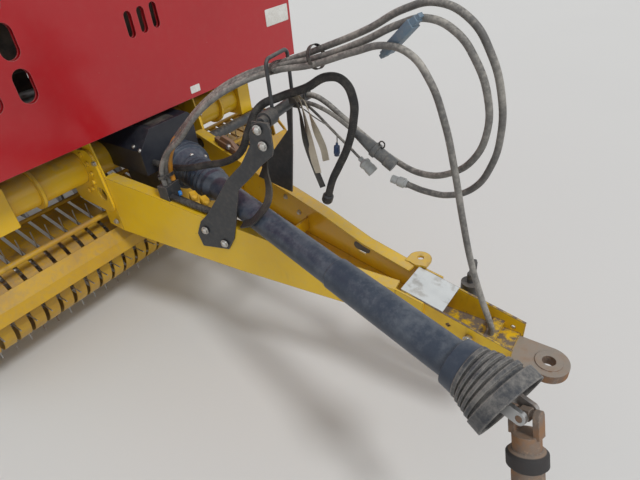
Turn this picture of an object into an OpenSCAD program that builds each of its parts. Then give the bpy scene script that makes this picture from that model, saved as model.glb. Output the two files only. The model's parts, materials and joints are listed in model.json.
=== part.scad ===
// Round baler for towing behind a tractor, parked on its wheels and its tongue jack.
// Millimetres. X is across the machine with its left side positive, Y runs from the
// hitch (negative) to the tailgate (positive), Z is up and the ground is at zero.
// Places along the tongue are distances behind the hitch pin. Places on the body are
// distances behind its datum, which lies tongue_reach behind the pin.

/* [Hitch and tongue] */
// Height of the hitch eye's middle above the ground
hitch_z = 413; // [380:1:450]
// Bore of the hitch eye
hitch_bore = 40; // [34:1:46]
// Thickness of the hitch eye plate
eye_t = 30; // [20:1:40]
// Radius of the hitch eye's nose
eye_nose = 60; // [50:1:66]
// Half width of the folded channel that carries the eye
box_half = 70; // [68:1:80]
// Thickness of the tongue's plates
tongue_t = 8; // [5:1:12]
// Where the rails start to spread, behind the hitch pin
rail_start = 470; // [440:1:500]
// Where the rails stop spreading, behind the hitch pin
rail_end = 1700; // [1660:1:1715]
// Half width of the tongue where the rails stop spreading
rail_half = 265; // [255:1:275]
// Width of the rails' flanges
rail_flange = 42; // [25:1:60]

/* [Chassis] */
// Distance of the body's datum behind the hitch pin
tongue_reach = 290; // [280:1:300]
// Outer diameter of the front cross tube
cross_d = 140; // [120:1:146]
// Wall of the front cross tube
cross_t = 8; // [5:1:12]
// Distance of the front cross tube behind the hitch pin
cross_back = 1860; // [1855:1:1870]
// Height of the front cross tube's middle
cross_z = 785; // [780:1:790]
// Width of each side frame
side_frame_w = 80; // [60:1:90]
// Distance of the axle behind the body's datum
axle_back = 2900; // [2850:1:2950]
// Side of the square axle beam
axle_beam = 100; // [80:1:110]

/* [Wheels] */
// Outer diameter of the tyres
wheel_d = 800; // [760:1:820]
// Width of the tyres
tyre_w = 330; // [280:1:340]
// Distance between the tyres' middles
track = 2060; // [2040:1:2100]
// Diameter of the rims
rim_d = 400; // [380:1:420]

/* [Bale chamber] */
// Width between the side walls
chamber_w = 1200; // [1150:1:1210]
// Thickness of the side walls
wall_t = 8; // [5:1:10]
// Distance of the tailgate hinge behind the body's datum
hinge_back = 2420; // [2400:1:2440]
// Height of the tailgate hinge
hinge_z = 2330; // [2320:1:2350]
// Diameter of the tailgate hinge shaft
hinge_d = 60; // [40:1:70]
// Radius of the belt rolls
roll_r = 50; // [40:1:60]
// Number of belts side by side
belt_count = 6; // [4:1:8]
// Width of one belt
belt_w = 176; // [120:1:180]
// Thickness of the belts
belt_t = 7; // [5:1:9]

/* [Covers] */
// Distance of the front panel behind the hitch pin
panel_back = 1600; // [1590:1:1610]
// Half width of the body over its covers
panel_half = 890; // [860:1:900]
// Height of the front panel's lower edge
panel_low = 960; // [930:1:980]
// Height of the front panel's upper edge
panel_high = 1730; // [1700:1:1750]
// Depth of the front panel and the shields
cover_t = 24; // [16:1:30]
// Thickness of the covers' skin
skin_t = 5; // [3:1:8]

/* [Pickup] */
// Distance of the reel's axis behind the body's datum
reel_back = 1690; // [1680:1:1700]
// Height of the reel's axis
reel_z = 330; // [320:1:345]
// Radius of the circle of the tine tips
tine_r = 235; // [215:1:240]
// Diameter of a tine
tine_d = 6; // [5:1:7]
// Number of tine bars
bar_count = 4; // [3:1:5]
// Radius of the front of the stripper bands
band_r = 165; // [150:1:175]
// Distance from one stripper band to the next
band_pitch = 66; // [58:1:70]
// Width of one stripper band
band_w = 50; // [40:1:52]
// Number of stripper bands
band_count = 28; // [20:2:28]
// Distance of the feed rotor behind the body's datum
rotor_back = 2100; // [2095:1:2120]
// Height of the feed rotor's axis
rotor_z = 590; // [580:1:600]
// Radius of the feed rotor's tips
rotor_r = 215; // [190:1:218]
// Diameter of the pickup's gauge wheels
gauge_d = 350; // [320:1:360]

/* [Drive shaft] */
// Height of the drive shaft where it leaves the gearbox
pto_z = 745; // [735:1:755]
// Diameter of the front guard tube
guard_d = 105; // [96:1:110]
// Diameter of the rear guard tube
guard_rear_d = 95; // [84:1:95]
// Bore of the splined yoke
yoke_bore = 35; // [30:1:40]

/* [Moving clearances] */
// Gap between a pin and the hole that turns on it
pin_gap = 0.1; // [0.05:0.05:0.5]
// Gap between a piece and the seat that it rests on
seat_gap = 0.3; // [0.1:0.1:0.5]
// Gap between pieces that pass each other
move_gap = 5; // [5:0.5:7]

/* [Hidden] */

// Colours
yellow = "#e0a90f";
red = "#a51320";
black = "#1c1d20";
steel = "#8d8f90";
dark = "#33363b";

// The drive shaft's line, from the gearbox to its parked front end beside the hitch
pto_rear = [0, 1505, pto_z];
pto_front = [-395, -18, 662];
pto_len = norm(pto_front - pto_rear);
pto_axis = (pto_front - pto_rear) / pto_len;
pto_turn = atan2(pto_axis[1], pto_axis[0]);
pto_tilt = acos(pto_axis[2]);
// Face on the gearbox that the guard's base ring lies against
guard_seat = 1550;
// The splined yoke hangs down and forward from the front joint
yoke_bend = 65;
yoke_clock = -20;
yoke_len = 170;
yoke_end_r = 36;
// Shaft joint: half distance between the ears, their radius and that of its pins
joint_half = 21;
ear_r = 15;
joint_pin = 8;
fork_root = 44;
yoke_lead = [sin(yoke_bend) * cos(yoke_clock) * cos(pto_tilt) + cos(yoke_bend) * sin(pto_tilt),
    sin(yoke_bend) * sin(yoke_clock)];
yoke_dir = [yoke_lead[0] * cos(pto_turn) - yoke_lead[1] * sin(pto_turn),
    yoke_lead[0] * sin(pto_turn) + yoke_lead[1] * cos(pto_turn),
    cos(yoke_bend) * cos(pto_tilt) - sin(yoke_bend) * cos(yoke_clock) * sin(pto_tilt)];

// Reach in front of the hitch pin and behind it, which put the origin in the middle
front_reach = yoke_end_r * sqrt(1 - pow(yoke_dir[1], 2)) - pto_front[1] - yoke_dir[1] * yoke_len;
gate_back = 3780;
tail_reach = tongue_reach + gate_back + 80;
hitch_y = -(tail_reach - front_reach) / 2;

rail_a = atan((rail_half - box_half) / (rail_end - rail_start));
// The cross tube and the panel's back in the body's frame
cross_body = cross_back - tongue_reach;
tab_back = panel_back + cover_t - tongue_reach;
gearbox_front = 1568;
// Hoses: each route is a list of sideways place, distance behind the hitch pin, height
hose_sides = 10;
hose_d = 19;
sleeve_d = 26;
lead_d = 14;
block_w = 72;
block_top = 775;
clip_back = 918;
lead_back = 905;
hose_end_z = 464;
front_route = [[-200, 1400, block_top], [-200, 1400, 825], [-195, 1352, 905], [-183, 1255, 985], [-155, 1165, 1080],
    [-100, 1060, 1155], [-32, 925, 1205], [-18, 790, 1232], [-12, 640, 1280], [-12, 550, 1303], [-14, 478, 1290],
    [-16, 420, 1232], [-18, 372, 1130], [-20, 336, 1010], [-20, 300, 860], [-20, 262, 720], [-18, 220, 600],
    [-15, 184, 510], [-15, 176, 487], [-15, 176, hose_end_z]];
upper_route = [[-178, 1403, block_top], [-178, 1403, 825], [-174, 1354, 915], [-160, 1255, 1005], [-128, 1165, 1095],
    [-75, 1060, 1165], [-6, 925, 1212], [6, 780, 1248], [8, 620, 1305], [8, 520, 1350], [10, 445, 1368],
    [12, 372, 1342], [15, 318, 1280], [16, 280, 1195], [17, 272, 1110], [20, 300, 1025], [32, 365, 962], [62, 465, 922],
    [95, 575, 928], [118, 690, 972], [124, 790, 1030], [120, 860, 1075], [118, 890, 1085], [118, clip_back, 1085]];
lower_route = [[-156, 1406, block_top], [-156, 1406, 825], [-152, 1357, 925], [-136, 1258, 1025], [-100, 1165, 1110],
    [-50, 1060, 1175], [18, 925, 1218], [30, 780, 1268], [34, 620, 1330], [36, 520, 1380], [38, 435, 1398],
    [38, 350, 1366], [39, 292, 1292], [40, 255, 1195], [40, 244, 1095], [41, 258, 1005], [44, 300, 925], [50, 370, 880],
    [56, 450, 869], [56, 510, 877]];
sleeve_route = [[-118, gearbox_front - 12, 800], [-118, 1490, 800], [-114, 1370, 815], [-108, 1240, 855],
    [-102, 1125, 895], [-98, 1055, 945], [-90, 1010, 1025], [-62, 972, 1098], [-15, 925, 1120], [0, 830, 1155], [5, 742, 1198],
    [5, 690, 1190], [5, 662, 1142], [5, 664, 1080], [5, 690, 990], [5, 730, 910], [5, 757, 859], [5, 779, 796]];
lead_route = [[57, lead_back, 1085], [57, 865, 1084], [54, 815, 1076], [49, 765, 1061], [45, 716, 1038], [45, 690, 1022]];
side_in = chamber_w / 2 + wall_t;
gate_in = side_in + move_gap;
gate_out = gate_in + wall_t;
frame_in = gate_out + 9;
frame_out = side_in + side_frame_w;
wheel_x = track / 2;

// Side view outlines: distance behind the hitch pin, height
net_low = [tab_back + 90, 1750];
net_high = [1990, 2290];
wall_front = 1540;
// Height of the net hood's floor above a place on the body
function net_floor(back) = net_low[1] + (back - net_low[0]) * (net_high[1] - net_low[1]) / (net_high[0] - net_low[0]);
wall_outline = [[wall_front, 940], [1830, 800], [1870, 560], [2010, 400], [2500, 400], [2695, 560],
    [2695, 2400], [2520, 2440], [2200, 2440], [2010, 2310], net_high, [wall_front, net_floor(wall_front)],
    [wall_front, 1660], [tab_back, 1660], [tab_back, 1560], [wall_front, 1560],
    [wall_front, 1150], [tab_back, 1150], [tab_back, 1050], [wall_front, 1050]];
gate_outline = [[2650, 560], [2760, 520], [3000, 520], [3330, 640], [3620, 900], [3750, 1180],
    [gate_back, 1380], [gate_back, 1520], [3720, 1790], [3530, 2060], [3250, 2230], [2900, 2330], [2460, 2400],
    [2380, 2390], [2350, 2330], [2370, 2280], [2450, 2255], [2650, 2240]];

// Belt rolls in the front half and in the tailgate: distance behind the hitch pin, height
front_roll_at = [[1860, 1190], [2600, 2170], [2240, 2270], [1830, 1700]];
gate_roll_at = [[2850, 640], [3530, 930], [3620, 1760], [2900, 2190]];

// Lift cylinder pins: distance behind the hitch pin, height
cyl_low = [2560, 820];
cyl_high = [3020, 1900];
cyl_len = norm(cyl_high - cyl_low);
cyl_a = atan2(cyl_high[1] - cyl_low[1], cyl_high[0] - cyl_low[0]);
cyl_x = frame_out + 42;

// Points on an arc about a middle
function arc(c, r, a0, a1, n) = [for (i = [0 : n]) c + r * [cos(a0 + (a1 - a0) * i / n), sin(a0 + (a1 - a0) * i / n)]];
// Angle of the outward normal of the edge from a to b, going anticlockwise
function rail_at(back) = lookup(back, rail_top) + seat_gap;
function edge_a(a, b) = atan2(b[1] - a[1], b[0] - a[0]) - 90;
// Outline that runs r outside the given points, going anticlockwise, round at its outer corners
function wrapped(p, r, n = 5) = [for (i = [0 : len(p) - 1])
    let (q = p[(i + len(p) - 1) % len(p)], s = p[(i + 1) % len(p)],
        a0 = edge_a(q, p[i]), turn = (edge_a(p[i], s) - a0 + 720) % 360, back = (turn - 360) / 2)
    each turn < 180 ? arc(p[i], r, a0, a0 + turn, n) : [p[i] + r / cos(back) * [cos(a0 + back), sin(a0 + back)]]];

// Places what is drawn by distances behind the body's datum
module on_body() {
    translate([0, tongue_reach, 0]) children();
}

// Draws a side view outline and gives it a width from x0
module from_side(x0, w) {
    translate([x0, hitch_y, 0])
        rotate([90, 0, 90])
            linear_extrude(w)
                children();
}

// Puts what is drawn about the origin at a place behind the hitch pin
module at(x, back, z) {
    translate([x, hitch_y + back, z]) children();
}

// Round bar across the machine
module bar_x(x0, x1, back, z, r) {
    at(x0, back, z) rotate([0, 90, 0]) cylinder(r = r, h = x1 - x0, $fn = 48);
}

// Same piece on both sides
module both_sides() {
    children();
    mirror([1, 0, 0]) children();
}

module hitch_eye() {
    color("#8a6a3a") difference() {
        union() {
            at(0, 0, hitch_z - eye_t / 2) cylinder(r = eye_nose, h = eye_t, $fn = 64);
            at(-eye_nose, 0, hitch_z - eye_t / 2) cube([2 * eye_nose, 300, eye_t]);
            at(0, 0, hitch_z - eye_t / 2 - 3) cylinder(r = hitch_bore, h = eye_t + 6, $fn = 64);
        }
        at(0, 0, hitch_z - eye_t) cylinder(d = hitch_bore, h = 2 * eye_t, $fn = 64);
    }
}

// Folded channel: two side plates, a floor over the eye plate, and lips along the top
box_low = hitch_z + eye_t / 2;
module hitch_box() {
    color(yellow) {
        difference() {
            union() {
                both_sides() from_side(box_half - tongue_t, tongue_t)
                    polygon([[95, 400], [120, 396], [465, 440], [465, 560], [300, 526], [95, 482]]);
                at(-box_half + 1, 105, box_low) cube([2 * box_half - 2, 350, tongue_t]);
            }
            bar_x(-box_half - 1, box_half + 1, 130, 452, 7);
            at(-box_half - 1, 295, 490) rotate([0, 90, 0]) cylinder(r = 9, h = tongue_t * 2, $fn = 4);
        }
        // Strip across the channel that holds the end of the front hose
        at(-box_half + tongue_t - 1, 158, hose_end_z - 10) cube([2 * (box_half - tongue_t + 1), 36, 10]);
        bar_x(-box_half - 12, -box_half, 225, 470, 12);
        bar_x(box_half, box_half + 84, jack_back, jack_z, 15);
        bar_x(box_half, box_half + 14, jack_back, jack_z, 34);
        bar_x(box_half + 76, box_half + 84, jack_back, jack_z, 24);
    }
}

module hitch_cover() {
    slope = atan((560 - 526) / 165);
    lip_in = box_half - tongue_t - seat_gap - 3;
    color("#b9bcbd") at(0, 465, 560) rotate([slope, 0, 0]) {
        translate([4 - box_half, -150, seat_gap]) cube([2 * box_half - 8, 150, 3]);
        both_sides() translate([lip_in, -150, -18]) cube([3, 150, 19]);
    }
}

// Distance along a spreading rail of a place behind the hitch pin
function along(back) = (back - rail_start) / cos(rail_a);
rail_top = [[480, 562], [680, 582], [885, 632], [1060, 662], [1230, 682], [1430, 724], [rail_end, 770]];
rail_low = [[480, 436], [760, 447], [1104, 463], [1553, 500], [rail_end, 514]];
function rail_outline(inset) = [
    for (p = rail_low) [along(p[0]), p[1] + inset],
    for (i = [len(rail_top) - 1 : -1 : 0]) [along(rail_top[i][0]), rail_top[i][1] - inset]];

// Tongue rail: a web that spreads from the hitch to the cross tube, flanged top and bottom
module rail() {
    at(box_half, rail_start, 0) rotate([0, 0, -rail_a]) rotate([90, 0, 90]) {
        difference() {
            linear_extrude(tongue_t) polygon(rail_outline(0));
            translate([along(724), 505, -1]) {
                translate([-12, -9, 0]) cube([24, 18, tongue_t + 2]);
                translate([-12, 0, 0]) cylinder(r = 9, h = tongue_t + 2, $fn = 32);
                translate([12, 0, 0]) cylinder(r = 9, h = tongue_t + 2, $fn = 32);
            }
        }
        translate([0, 0, -rail_flange]) linear_extrude(rail_flange + 1) difference() {
            polygon(rail_outline(0));
            polygon([for (p = rail_outline(tongue_t)) [p[0] < 20 ? p[0] - 5 : p[0] > 1200 ? p[0] + 5 : p[0], p[1]]]);
        }
    }
    // Lap plate on the hitch channel
    from_side(box_half, tongue_t) polygon([[380, 430], [482, 436], [482, 562], [380, 545]]);
    // Rear end that runs straight back to the cross tube and rises beside it
    tube_front = cross_back - cross_d / 2 - seat_gap;
    difference() {
        from_side(rail_half, tongue_t) polygon([[rail_end - 6, 514], [tube_front, 522], [tube_front, 860],
            [rail_end + 70, 940], [rail_end + 20, 940], [rail_end - 6, 780]]);
        bar_x(rail_half - 1, rail_half + tongue_t + 1, side_shaft[0], side_shaft[1], side_shaft_r + move_gap);
    }
}

module rail_left() {
    color(yellow) {
        rail();
        // Ear for the tongue's storage pin
        at(box_half, 440, 568) difference() {
            union() {
                translate([0, 0, -8]) cube([34, 80, 8]);
                translate([34, 40, -8]) cylinder(r = 40, h = 8, $fn = 48);
            }
            translate([38, 40, -9]) cylinder(r = 11, h = 10, $fn = 32);
        }
    }
}

module rail_right() {
    color(yellow) mirror([1, 0, 0]) rail();
}

// Plates between the rails that carry the gearbox
module rail_brace() {
    color(yellow) {
        for (p = [[1010, 490], [1440, 520]]) {
            half = box_half + (p[0] - rail_start) * tan(rail_a) - seat_gap;
            at(-half, p[0], p[1]) cube([2 * half, 10, 56]);
        }
    }
}

// Radius of the arc of bolts about the cross tube
bolt_ring = 105;
module cross_tube() {
    color(yellow) {
        difference() {
            bar_x(-side_in, side_in, cross_back, cross_z, cross_d / 2);
            bar_x(-side_in - 1, side_in + 1, cross_back, cross_z, cross_d / 2 - cross_t);
        }
        both_sides() {
            difference() {
                from_side(rail_half + tongue_t, 12)
                    polygon(wrapped([[cross_back - 130, cross_z - 140], [cross_back + 55, cross_z - 130],
                        [cross_back + 75, cross_z + 30], [cross_back - 110, cross_z + 60]], 40));
                bar_x(rail_half, rail_half + 30, cross_back, cross_z, cross_d / 2 - 1);
                bar_x(rail_half, rail_half + 30, side_shaft[0], side_shaft[1], side_shaft_r + move_gap);
            }
            difference() {
                bar_x(478, 492, cross_back, cross_z, cross_d / 2 + 18);
                bar_x(477, 493, cross_back, cross_z, cross_d / 2 - 1);
            }
            // Bolt heads in an arc
            for (a = [110 : 24 : 255])
                bar_x(rail_half + tongue_t + 12, rail_half + tongue_t + 22, cross_back + bolt_ring * cos(a),
                    cross_z + bolt_ring * sin(a), 10);
        }
    }
}

// Side frame: a deep beam from the cross tube that drops to the axle
beam_front = [[cross_body + 80, 920], [cross_body - 88, 870], [cross_body - 88, cross_z - 80], [cross_body + 110, cross_z - 80]];
module side_frame() {
    difference() {
        union() {
            from_side(frame_in, frame_out - frame_in)
                polygon(concat(beam_front, [[2230, 770], [2560, 620], [2800, 450], [2850, 450], [2850, 350], [2950, 350],
                    [3010, 380], [3010, 520], [2860, 660], [2680, 800], [2640, 850], [2400, 920]]));
            from_side(side_in, frame_in - side_in + 1)
                polygon(concat(beam_front, [[2230, 770], [2560, 620], [2640, 570], [2640, 850], [2400, 920]]));
        }
        bar_x(side_in - 1, frame_in + 10, cross_body, cross_z, cross_d / 2);
        at(side_in, axle_back - axle_beam / 2 - seat_gap, wheel_d / 2 - axle_beam / 2 - seat_gap)
            cube([200, axle_beam + 2 * seat_gap, axle_beam + 2 * seat_gap]);
    }
    // Pivot pin of the pickup, in line with the feed rotor
    bar_x(frame_out - 1, frame_out + 50, rotor_back, rotor_z, 20);
    bar_x(frame_out - 1, frame_out + 14, rotor_back, rotor_z, 34);
    from_side(frame_out - 20, 20) polygon([[2000, 780], [2050, 550], [2150, 550], [2200, 780]]);
    // Lower pin of the lift cylinder
    bar_x(frame_in, cyl_x + 44, cyl_low[0], cyl_low[1], 20);
}

module chassis_left() { color(yellow) side_frame(); }
module chassis_right() { color(yellow) mirror([1, 0, 0]) side_frame(); }

module axle() {
    color(yellow) {
        difference() {
            at(-frame_out - 60, axle_back - axle_beam / 2, wheel_d / 2 - axle_beam / 2)
                cube([2 * (frame_out + 60), axle_beam, axle_beam]);
            at(-frame_out - 61, axle_back - axle_beam / 2 + 8, wheel_d / 2 - axle_beam / 2 + 8)
                cube([2 * (frame_out + 61), axle_beam - 16, axle_beam - 16]);
        }
    }
    color(steel) both_sides() {
        bar_x(frame_out + 60, wheel_x + 60, axle_back, wheel_d / 2, 27);
        bar_x(frame_out + 60, frame_out + 75, axle_back, wheel_d / 2, 44);
    }
}

// Jack: a leg on the left of the hitch channel, swung down, with its foot on the ground
jack_back = 300;
jack_z = 470;
jack_x = box_half + 45;
module jack() {
    color(dark) {
        difference() {
            union() {
                bar_x(jack_x - 28, jack_x + 28, jack_back, jack_z, 30);
                at(jack_x, jack_back, 120) cylinder(r = 30, h = jack_z - 120 + 60, $fn = 48);
            }
            bar_x(jack_x - 40, jack_x + 40, jack_back, jack_z, 15 + pin_gap);
        }
        at(jack_x, jack_back, 8) cylinder(r = 23, h = 120, $fn = 48);
        at(jack_x, jack_back, 0) cylinder(r = 50, h = 10, $fn = 64);
        at(jack_x, jack_back, jack_z + 60) cylinder(r = 12, h = 30, $fn = 32);
    }
}

// Cross shaft from the gearbox to the side drive: distance behind the hitch pin, height
side_shaft = [1738, 690];
side_shaft_r = 25;
module gearbox() {
    front = gearbox_front;
    tube_front = cross_back - cross_d / 2 - seat_gap;
    color(dark) {
        from_side(-110, 220) polygon([[front, 640], [tube_front, 640], [tube_front, 870], [front, 870]]);
        from_side(-85, 170) polygon([[front + 8, 865], [tube_front - 6, 865], [tube_front - 6, 885], [front + 8, 885]]);
        at(0, front + 1, pto_z) rotate([90, 0, 0]) cylinder(r = flange_r, h = front + 1 - guard_seat, $fn = 64);
        at(0, front, pto_z) rotate([90, 0, 0]) cylinder(r = 24, h = front - pto_rear[1], $fn = 48);
        at(0, pto_rear[1], pto_z) sphere(r = 30, $fn = 48);
        bar_x(100, frame_out + 30, side_shaft[0], side_shaft[1], side_shaft_r);
    }
}

// Sides of the cover over the gearbox, and the radius of the gearbox's flange
shroud_right = -165;
shroud_left = 118;
flange_r = 100;
module gearbox_shroud() {
    front = gearbox_front - 12;
    rear = cross_back + 40;
    outline = [[shroud_right, 760], [shroud_right, 862], [shroud_right + 66, 936], [shroud_left - 20, 936],
        [shroud_left, 916], [shroud_left, 760]];
    inside = [[shroud_right + 4, 750], [shroud_right + 4, 860], [shroud_right + 68, 932], [shroud_left - 22, 932],
        [shroud_left - 4, 914], [shroud_left - 4, 750]];
    color(black) difference() {
        at(0, rear, 0) rotate([90, 0, 0]) linear_extrude(rear - front) polygon(outline);
        at(0, rear + 1, 0) rotate([90, 0, 0]) linear_extrude(rear - front - 3) polygon(inside);
        // Round the shaft's flange, and a saddle over the cross tube
        at(0, front + 10, pto_z) rotate([90, 0, 0]) cylinder(r = flange_r + seat_gap, h = 20, $fn = 64);
        bar_x(shroud_right - 1, shroud_left + 1, cross_back, cross_z, cross_d / 2 + seat_gap);
        at(shroud_right - 1, cross_back - cross_d / 2 - seat_gap, cross_z - 100)
            cube([shroud_left - shroud_right + 2, cross_d + 2 * seat_gap, 100]);
    }
}

// Turns and places a shape drawn up the Z axis so that it runs along the drive shaft
module along_pto() {
    at(pto_rear[0], pto_rear[1], pto_rear[2]) rotate([0, pto_tilt, pto_turn]) children();
}

// Guard: ribbed boot at the gearbox, two telescoping tubes and the collar that holds the front bell
guard_step = 0.6 * pto_len;
collar_at = pto_len - 190;
module pto_guard() {
    ribs = [for (i = [0 : 6]) each [[74 - i, 46 + 26 * i], [68 - i, 59 + 26 * i]]];
    outer = concat([[95, -2], [95, 14], [84, 18], [78, 36]], ribs, [[62, 236], [guard_rear_d / 2, 262],
        [guard_rear_d / 2, guard_step], [guard_d / 2, guard_step], [guard_d / 2, collar_at],
        [66, collar_at], [70, collar_at + 40]]);
    inner = [[64, collar_at + 40], [46, collar_at + 4], [46, guard_step + 4], [41, guard_step], [41, 256], [57, 230],
        [66, 40], [76, 14], [82, -2]];
    color(dark) {
        along_pto() rotate_extrude($fn = 64) polygon(concat(outer, inner));
        // Base ring, square to the gearbox
        at(0, guard_seat - seat_gap, pto_z) rotate([90, 0, 0]) rotate_extrude($fn = 64)
            translate([86, 0]) square([14, guard_seat - seat_gap - pto_rear[1] + 6]);
    }
}

// Rubber bell on the collar, which droops towards its mouth: place along it, outer radius, width
bell_rings = [[0, 72, 12], [18, 77, 8], [32, 81, 8], [46, 85, 9], [61, 90, 12], [82, 98, 36]];
bell_droop = 14;
bell_t = 5;
module bell_ring(p, r, w) {
    rotate([0, 0, yoke_clock]) translate([0, 0, p[0]]) rotate([0, bell_droop * p[0] / 82, 0])
        cylinder(r = r, h = w, $fn = 64);
}
module pto_bell() {
    start = collar_at + 40.3;
    color(black) along_pto() translate([0, 0, start]) difference() {
        union() {
            for (p = bell_rings) bell_ring(p, p[1], p[2]);
            // Skin between the rings
            for (i = [0 : len(bell_rings) - 2])
                bell_ring([bell_rings[i][0] + bell_rings[i][2] / 2], bell_rings[i][1] - 6, 18);
        }
        for (i = [0 : len(bell_rings) - 2])
            bell_ring([bell_rings[i][0] - 1], bell_rings[i][1] - 6 - bell_t, 42);
        let (p = bell_rings[len(bell_rings) - 1]) bell_ring([p[0] + bell_t], p[1] - bell_t, 60);
    }
}

// Fork of a shaft joint: a hub down the axis, clear of the other fork's ears, and two ears on a pin along X
module fork(hub_r, bore_r) {
    difference() {
        union() {
            translate([0, 0, fork_root]) cylinder(r = hub_r, h = 42, $fn = 48);
            for (side = [-1, 1]) {
                translate([side * (joint_half + 7) - 7, -ear_r, 0]) cube([14, 2 * ear_r, fork_root + 4]);
                translate([side * (joint_half + 7) - 7, 0, 0]) rotate([0, 90, 0]) cylinder(r = ear_r, h = 14, $fn = 48);
            }
        }
        if (bore_r > 0) translate([-60, 0, 0]) rotate([0, 90, 0]) cylinder(r = bore_r, h = 120, $fn = 32);
    }
}

// Telescoping shaft inside the guard, with a cup on the gearbox's ball and the front fork
module pto_shaft() {
    color(steel) along_pto() {
        difference() {
            translate([0, 0, 4]) cylinder(r = 38, h = 60, $fn = 48);
            sphere(r = 30 + seat_gap, $fn = 48);
        }
        translate([0, 0, 60]) cylinder(r = 25, h = pto_len - 130, $fn = 32);
        translate([0, 0, pto_len]) rotate([0, 0, yoke_clock]) rotate([180, 0, 90]) fork(34, joint_pin + pin_gap);
    }
}

// Splined yoke with its pull collar and the cross of the joint, hanging at the front
module pto_yoke() {
    color("#4a3526") along_pto() translate([0, 0, pto_len]) rotate([0, yoke_bend, yoke_clock]) {
        fork(32, 0);
        translate([-joint_half - 14, 0, 0]) rotate([0, 90, 0]) cylinder(r = joint_pin, h = 2 * joint_half + 28, $fn = 32);
        translate([0, -joint_half - 14, 0]) rotate([-90, 0, 0]) cylinder(r = joint_pin, h = 2 * joint_half + 28, $fn = 32);
        translate([-12, -12, -12]) cube(24);
        difference() {
            rotate_extrude($fn = 64) polygon([[0, 80], [34, 80], [40, 84], [46, 90],
                [46, 116], [40, 122], [yoke_end_r, 124], [yoke_end_r, yoke_len], [0, yoke_len]]);
            translate([0, 0, 90]) cylinder(d = yoke_bore, h = yoke_len, $fn = 48);
        }
    }
}

// Side view frame of the right rail's outer face: distance behind the hitch pin, height
module on_right_rail(off) {
    mirror([1, 0, 0]) at(box_half, rail_start, 0) rotate([0, 0, -rail_a]) rotate([90, 0, 90])
        translate([0, 0, off]) children();
}

// Upright plate bolted to the right rail: distance along the rail, height
holder_outline = [[806, 604], [793, 548], [668, 562], [632, 618], [612, 680], [566, 836], [502, 896], [454, 945], [406, 985],
    [399, 1007], [399, 1074], [408, 1092], [433, 1094], [457, 1086], [477, 1055], [483, 1012], [532, 939], [609, 867],
    [662, 795], [731, 707], [775, 665]];
holder_t = 6;
head_bolts = [[442, 1070], [431, 1019]];
foot_bolts = [[758, 632], [678, 590]];
module hose_holder() {
    color(dark) on_right_rail(tongue_t) {
        linear_extrude(holder_t) polygon(holder_outline);
        for (p = concat(head_bolts, foot_bolts)) translate([p[0], p[1], holder_t - 0.5]) cylinder(r = 9, h = 6, $fn = 6);
    }
}

// Tube across the top of the holder with its clamp, the loop of rod that the hoses pass through,
// a black flap below it, and the block on the rail that the hoses come out of
tube_r = 17;
tube_z = 1085;
loop_top = 1250;
loop_legs = [-78, -205];
loop_r = 20;
module hose_hoop() {
    color(steel) {
        on_right_rail(tongue_t - seat_gap) translate([437, tube_z, 0]) {
            translate([-32, -50, -6]) cube([62, 55, 6]);
            translate([0, 0, -250]) cylinder(r = tube_r, h = 245, $fn = 48);
            translate([0, 0, -70]) cylinder(r = tube_r + 9, h = 44, $fn = 48);
            // Loop of bent rod
            for (leg = [0, 1]) translate([0, 0, loop_legs[leg]]) {
                rotate([-90, 0, 0]) cylinder(r = 6, h = loop_top - tube_z - loop_r, $fn = 24);
                translate([0, loop_top - tube_z - loop_r, (leg - 0.5) * 2 * loop_r])
                    rotate([0, 90, 0]) rotate([0, 0, 90 - 90 * leg])
                        rotate_extrude(angle = 90, $fn = 24) translate([loop_r, 0]) circle(r = 6);
            }
            translate([0, loop_top - tube_z, loop_legs[1] + loop_r - 0.1])
                cylinder(r = 6, h = loop_legs[0] - loop_legs[1] - 2 * loop_r + 0.2, $fn = 24);
        }
        // Clips that the returning hose and the short lead end in
        at(100, clip_back, tube_z - 18) cube([36, 50, 36]);
        at(42, lead_back + seat_gap, tube_z - 18) cube([30, 32, 36]);
        on_right_rail(-block_w) linear_extrude(block_w)
            polygon([for (q = [[1380, rail_at(1380)], [1424, rail_at(1424)], [1424, block_top - seat_gap], [1380, block_top - seat_gap]])
                [along(q[0]), q[1]]]);
    }
    color(black) from_side(38, 6)
        polygon([[925, 1080], [950, 1080], [955, 985], [1100, 820], [1135, 762], [975, 736], [948, 905]]);
}

// Free hoses: each is a tube swept along its route
function tangent(p, i) = let (d = p[min(i + 1, len(p) - 1)] - p[max(i - 1, 0)]) d / norm(d);
function ring(p, i, r) = let (t = tangent(p, i), side = [1, 0, 0] - t[0] * t, n = side / norm(side), b = cross(t, n))
    [for (k = [0 : hose_sides - 1]) p[i] + r * (cos(k * 360 / hose_sides) * n + sin(k * 360 / hose_sides) * b)];
module hose(p, r) {
    last = len(p) - 1;
    at(0, 0, 0) polyhedron(
        [for (i = [0 : last]) each ring(p, i, r)],
        concat(
            [for (k = [1 : hose_sides - 2]) [0, k, k + 1]],
            [for (k = [1 : hose_sides - 2]) [last * hose_sides, last * hose_sides + k + 1, last * hose_sides + k]],
            [for (i = [0 : last - 1], k = [0 : hose_sides - 1]) let (m = (k + 1) % hose_sides, q = i * hose_sides)
                [q + k, q + hose_sides + k, q + m]],
            [for (i = [0 : last - 1], k = [0 : hose_sides - 1]) let (m = (k + 1) % hose_sides, q = i * hose_sides)
                [q + m, q + hose_sides + k, q + hose_sides + m]]));
}
module hose_front() { color(black) hose(front_route, hose_d / 2); }
module hose_upper() { color(black) hose(upper_route, hose_d / 2); }
module hose_lower() { color(black) hose(lower_route, hose_d / 2); }
module hose_sleeve() { color(black) hose(sleeve_route, sleeve_d / 2); }
module hose_lead() { color(black) hose(lead_route, lead_d / 2); }

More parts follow.
